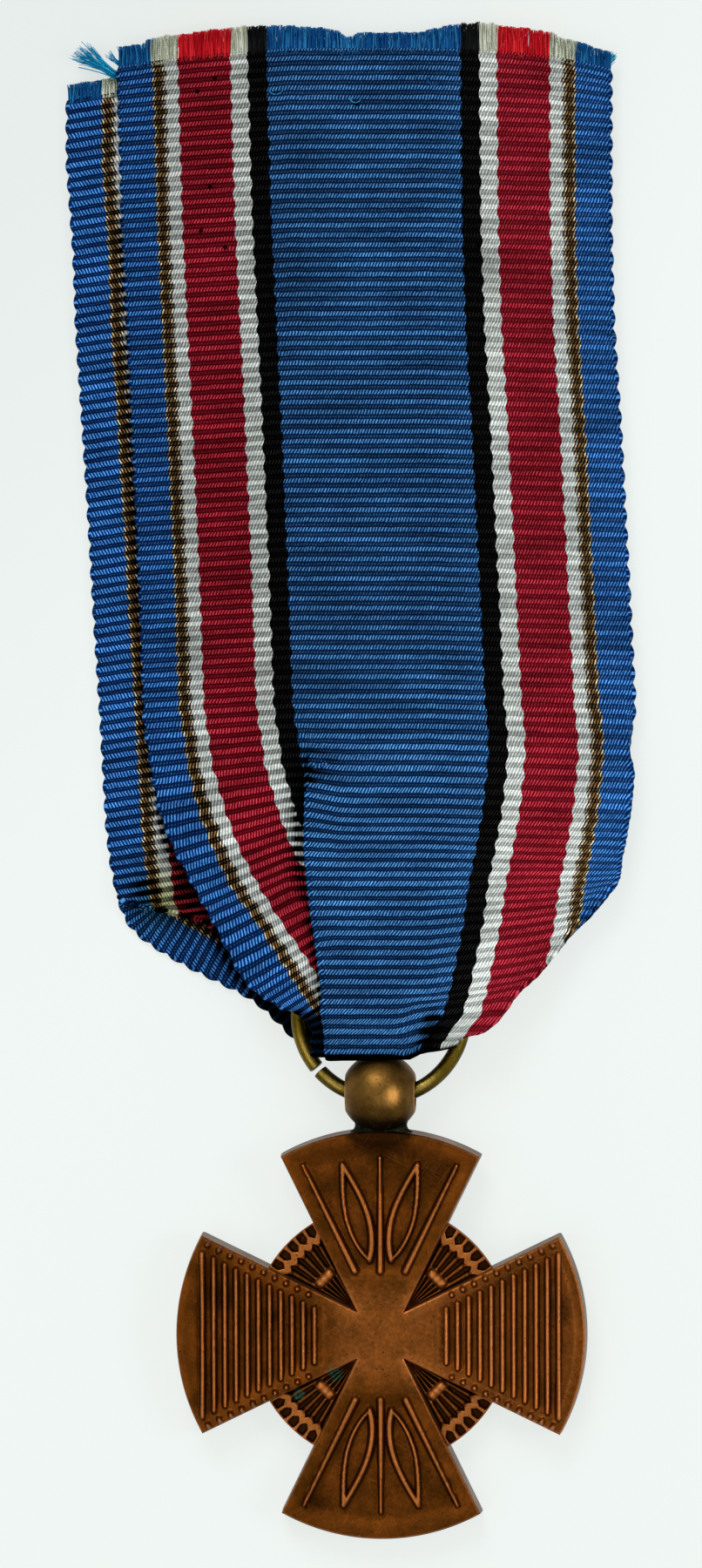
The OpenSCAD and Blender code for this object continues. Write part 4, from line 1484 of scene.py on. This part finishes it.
# %% Neck
# Height on the cross, half width, half thickness
NECK = [(14.9, 2.3, 0.9), (15.25, 2.45, 0.98), (15.45, 2.3, 1.02), (15.62, 2.05, 1.08), (15.8, 1.96, 1.2),
        (16.0, 1.95, 1.4), (16.2, 2.02, 1.7), (16.4, 2.16, 2.0), (16.6, 2.1, 2.0), (17.2, 1.6, 1.6)]


def neck_shell(around=72, steps=40):
    heights, widths, depths = np.transpose(NECK)
    at = np.linspace(heights[0], heights[-1], steps)
    wide, thick = np.interp(at, heights, widths), np.interp(at, heights, depths)
    spin = np.linspace(0, 2 * math.pi, around, endpoint=False)
    lumpy = 1 + 0.03 * np.sin(3 * spin + 1) + 0.02 * np.sin(7 * spin)
    points = np.stack([np.outer(wide, np.cos(spin) * lumpy), at[:, None] + 0 * spin,
                       BALL_Z + np.outer(thick, np.sin(spin) * lumpy)], -1)
    faces = grid_faces(steps, around, ring=True).tolist()
    faces += [list(range(around))[::-1], list(range((steps - 1) * around, steps * around))]
    return points.reshape(-1, 3), faces, plain_values(steps * around, deep=0.6, green=0.4)


ball = join_shells("cross_ball", [ball_shell()])
neck = join_shells("cross_neck", [neck_shell()])
report(ball)
report(neck)

# %% Ring
RING_AT = np.array([2.42, -17.5, 2.2525])
RING_R, WIRE_R = 6.28, 0.575
RING_TILT = math.radians(4.54)
SLIT_AT, SLIT = math.radians(221), 0.34
# How far beside the slit the wire gets its full radius, and its tip's length and share of that radius
FULL_FROM, END_LONG, END_SHARE = 0.06, 0.055, 0.82


def ring_shell(steps=220, around=28):
    """Points and faces of a split ring, and each point's angle along it and how far up it faces."""
    half = (SLIT / 2 + FULL_FROM) / RING_R
    angle = np.linspace(SLIT_AT + half, SLIT_AT + 2 * math.pi - half, steps)
    more = END_LONG / RING_R
    angle = np.concatenate([[angle[0] - more], angle, [angle[-1] + more]])[:, None]
    share = np.ones(angle.shape)
    share[[0, -1]] = END_SHARE
    spin = np.linspace(0, 2 * math.pi, around, endpoint=False)
    out = RING_R + WIRE_R * share * np.cos(spin)
    x, y, z = out * np.cos(angle), out * np.sin(angle), WIRE_R * share * np.sin(spin)
    cos, sin = math.cos(RING_TILT), math.sin(RING_TILT)
    laid = np.stack([x, y * cos + z * sin, z * cos - y * sin], -1).reshape(-1, 3) + RING_AT
    faces = grid_faces(len(angle), around, ring=True).tolist()
    first = list(range(around))
    faces += [first[::-1], [k + (len(angle) - 1) * around for k in first]]
    return laid, faces, np.repeat(angle, around), np.tile(np.sin(spin), len(angle))


def add_ring():
    laid, faces, along, upward = ring_shell()
    made = add_mesh("suspension_wire_ring", laid, faces)
    # A highlight is painted in stretches along its top, and shade on its sides and underside. It is also
    # darker beside the ball
    bright = np.clip(upward, 0, 1) ** 8 * (0.5 + 0.3 * np.sin(5 * along + 1) + 0.2 * np.sin(11 * along))
    by_ball = 0.9 * np.exp(-((along - 1.5 * math.pi) / 0.5) ** 2)
    values = plain_values(len(laid), worn=0.6 * bright, deep=np.clip(0.85 - upward + by_ball, 0, 1))
    for name, value in values.items():
        add_point_values(made, name, value)
    made.data.set_sharp_from_angle(angle=math.radians(SMOOTH_TO))
    return made


ring = add_ring()
report(ring)

# %% [markdown]
# ## Old bronze and brass
# Handling polishes what stands proud, while dirt and oxide stay in the hollows. So the colour
# follows the shape: each point already knows its wear, its dirt and its stains, and the material
# mixes polished, plain and dark metal by those values, with noise so that no border looks drawn.
# The same values also carry painted light: a highlight along the top of the ring's wire, on spots
# of the ball and partly on the crests and edges of the cross, and shade on the ring's underside.
# Fine noise also gives the pits and scratches, as bumps of a few hundredths of a millimetre.

# %% Tones of the metals
# Tone of the metal in its hollows and in painted shade, its own tone at its dimmest and lightest,
# and its tone where it is worn and where a highlight is painted
METAL = {
    "struck_bronze": ((44, 20, 0), (72, 38, 4), (112, 58, 12), (206, 124, 62)),
    "soldered_ball": ((34, 22, 2), (82, 56, 18), (122, 88, 38), (230, 166, 86)),
    "old_solder": ((14, 16, 8), (26, 28, 16), (44, 44, 26), (110, 104, 70)),
    "brass_wire": ((32, 24, 2), (84, 70, 10), (122, 98, 28), (206, 178, 96)),
}
# Tone of the walls, painted duller than the faces for the light that they catch from the side
SIDE_TONE = (92, 66, 42)
VERDIGRIS = (26, 90, 68)
print("metals:", ", ".join(METAL))

# %% Scratches
# Angle of each set of scratches
SCRATCH_TURNS = (0.5, 2.2, 1.3)


def scratches(f, place):
    """1 on fine scratches in three directions: noise that is drawn out along each."""
    found = 0.0
    for turn_by in SCRATCH_TURNS:
        turned = f.node("VectorRotate", place, None, None, turn_by, rotation_type="Z_AXIS")
        streaks = f.noise(f.stretch(turned, (0.35, 9.0, 1.0)), 1.0, 1.0, 0.5)
        found = f.math("MAXIMUM", found, f.span(streaks, 0.66, 0.72))
    return found


print(len(SCRATCH_TURNS), "sets of scratches")

# %% Metal finishes
# Height of the finest relief in metres
METAL_RELIEF = 0.00003


def metal_finish(name, metallic=0.95, roughness=0.42):
    """Metal whose colour follows the values that each point keeps."""
    dark, low, high, bright = (tone(*rgb) for rgb in METAL[name])
    f = Finish(name, Specular_IOR_Level=0.3)
    place = f.stretch(f.node("TexCoord", out=3), (1 / MM,) * 3)
    worn, deep, side, green = (f.kept(key) for key in POINT_VALUES)
    fine = f.noise(place, 3.5, 4.0, 0.62)
    grain = f.math("SUBTRACT", fine, 0.5)
    blots = f.noise(place, 0.42, 4.0, 0.6)
    colour = f.ramp(blots, [(0.32, low), (0.66, high)])
    # Dirt, oxide and painted shade take the dark tone, and wear and painted highlights the bright one
    colour = f.mix(f.span(f.math("MULTIPLY_ADD", grain, 0.7, deep), 0.1, 0.95), colour, dark)
    colour = f.mix(f.span(f.math("MULTIPLY_ADD", grain, 0.45, worn), 0.05, 0.95), colour, bright)
    # The walls take their painted tone, and lose part of their metal sheen
    colour = f.mix(f.math("MULTIPLY", side, f.span(fine, 0.3, 0.6, 0.35, 0.9)), colour, tone(*SIDE_TONE))
    pits = f.span(f.noise(place, 5.5, 2.0, 0.5), 0.66, 0.72)
    colour = f.mix(f.math("MULTIPLY", pits, 0.6), colour, dark)
    stain = f.span(f.math("MULTIPLY", green, f.math("MULTIPLY_ADD", grain, 4.0, 1.0)), 0.45, 0.95)
    colour = f.mix(stain, colour, tone(*VERDIGRIS))
    scratched = scratches(f, place)
    colour = f.mix(f.math("MULTIPLY", scratched, 0.06), colour, bright)
    relief = f.math("SUBTRACT", f.math("SUBTRACT", fine, f.math("MULTIPLY", scratched, 0.15)), pits)
    f.feed(f.surface.inputs["Base Color"], colour)
    plain = f.math("SUBTRACT", 1.0, f.math("MAXIMUM", stain, f.math("MULTIPLY", side, 0.45)))
    f.feed(f.surface.inputs["Metallic"], f.math("MULTIPLY", plain, metallic))
    f.feed(f.surface.inputs["Roughness"], f.span(blots, 0.2, 0.8, roughness + 0.1, roughness - 0.06))
    f.feed(f.surface.inputs["Normal"], f.bump(relief, METAL_RELIEF, 0.7))
    return f


bronze = metal_finish("struck_bronze")
bronze.wear(arms)
bronze.wear(bundles)
brass = metal_finish("soldered_ball", roughness=0.46)
brass.wear(ball)
neck_dark = metal_finish("old_solder", roughness=0.5)
neck_dark.wear(neck)
wire = metal_finish("brass_wire", roughness=0.34)
wire.wear(ring)
print("bronze:", len(bronze.tree.nodes), "nodes")

# %% [markdown]
# ## Table and light
# The cross lies on a pale greenish sheet that is lit from below, as for a catalogue, so it casts
# hardly any shadow. A sheet that glows by itself does the same here, and is simpler than lamps
# under a sheet of frosted glass. A big window of light above lights the silk and the ridges'
# edges, and a second lamp fills from the right. The silk's sheen is a painted highlight, in the
# bright strokes on its crests.

# %% Table
TABLE_SIDE = 3000
TABLE_TONE = (0.18, 0.195, 0.19, 1)
TABLE_GLOW = (0.828, 0.862, 0.84, 1)
GLOW_STRENGTH = 0.85


def add_table():
    corners = [[-TABLE_SIDE, -TABLE_SIDE, 0], [TABLE_SIDE, -TABLE_SIDE, 0],
               [TABLE_SIDE, TABLE_SIDE, 0], [-TABLE_SIDE, TABLE_SIDE, 0]]
    made = add_mesh("pale_table", corners, [[0, 1, 2, 3]], smooth=False)
    paper = Finish("lit_sheet", Base_Color=TABLE_TONE, Roughness=0.8, Specular_IOR_Level=0.05,
                   Emission_Color=TABLE_GLOW)
    place = paper.node("TexCoord", out=3)
    across = paper.node("VectorMath", place, (1, -1, 0), operation="DOT_PRODUCT", out=1)
    glow = paper.span(across, -0.09, 0.0, 0.88 * GLOW_STRENGTH, GLOW_STRENGTH)
    paper.feed(paper.surface.inputs["Emission Strength"], glow)
    paper.wear(made)
    return made


pale_table = add_table()
print("table is", 2 * TABLE_SIDE, "mm wide")

# %% Light
# Name, place in metres, size in metres, watts
LAMPS = [
    ("window", (-0.12, 0.5, 0.55), 0.32, 2.3),
    ("side", (0.5, -0.02, 0.42), 0.2, 0.86),
    ("overhead", (-0.3, -0.2, 0.8), 0.6, 1.4),
]
SKY = (0.95, 1.0, 0.985, 1)
SKY_STRENGTH = 0.45


def add_lamp(name, place, size, watts):
    data = bpy.data.lights.new(name, "AREA")
    data.size = size
    data.energy = watts
    lamp = bpy.data.objects.new(name, data)
    bpy.context.collection.objects.link(lamp)
    lamp.location = place
    lamp.rotation_euler = (-Vector(place)).to_track_quat("-Z", "Y").to_euler()


def light_scene():
    for lamp in LAMPS:
        add_lamp(*lamp)
    world = bpy.data.worlds.new("studio")
    world.use_nodes = True
    background = world.node_tree.nodes["Background"]
    background.inputs["Color"].default_value = SKY
    background.inputs["Strength"].default_value = SKY_STRENGTH
    bpy.context.scene.world = world
    bpy.context.scene.view_settings.view_transform = "Standard"


light_scene()
print(len(LAMPS), "lamps and a sky of", SKY_STRENGTH)

# %% [markdown]
# ## Each piece and its part
# Each finished piece stands in for a plain solid of the imported model, which is then hidden.
# Nothing here turns or slides by itself, so every piece rides on the part's root.

# %% Pieces and their part
for piece in (arms, bundles, ball, neck):
    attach(piece, "root")
    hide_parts("cross")
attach(ring, "root")
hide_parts("suspension_ring")
for piece in (ribbon, fringe_front, fringe_back, tufts, loops):
    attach(piece, "root")
    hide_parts("ribbon")
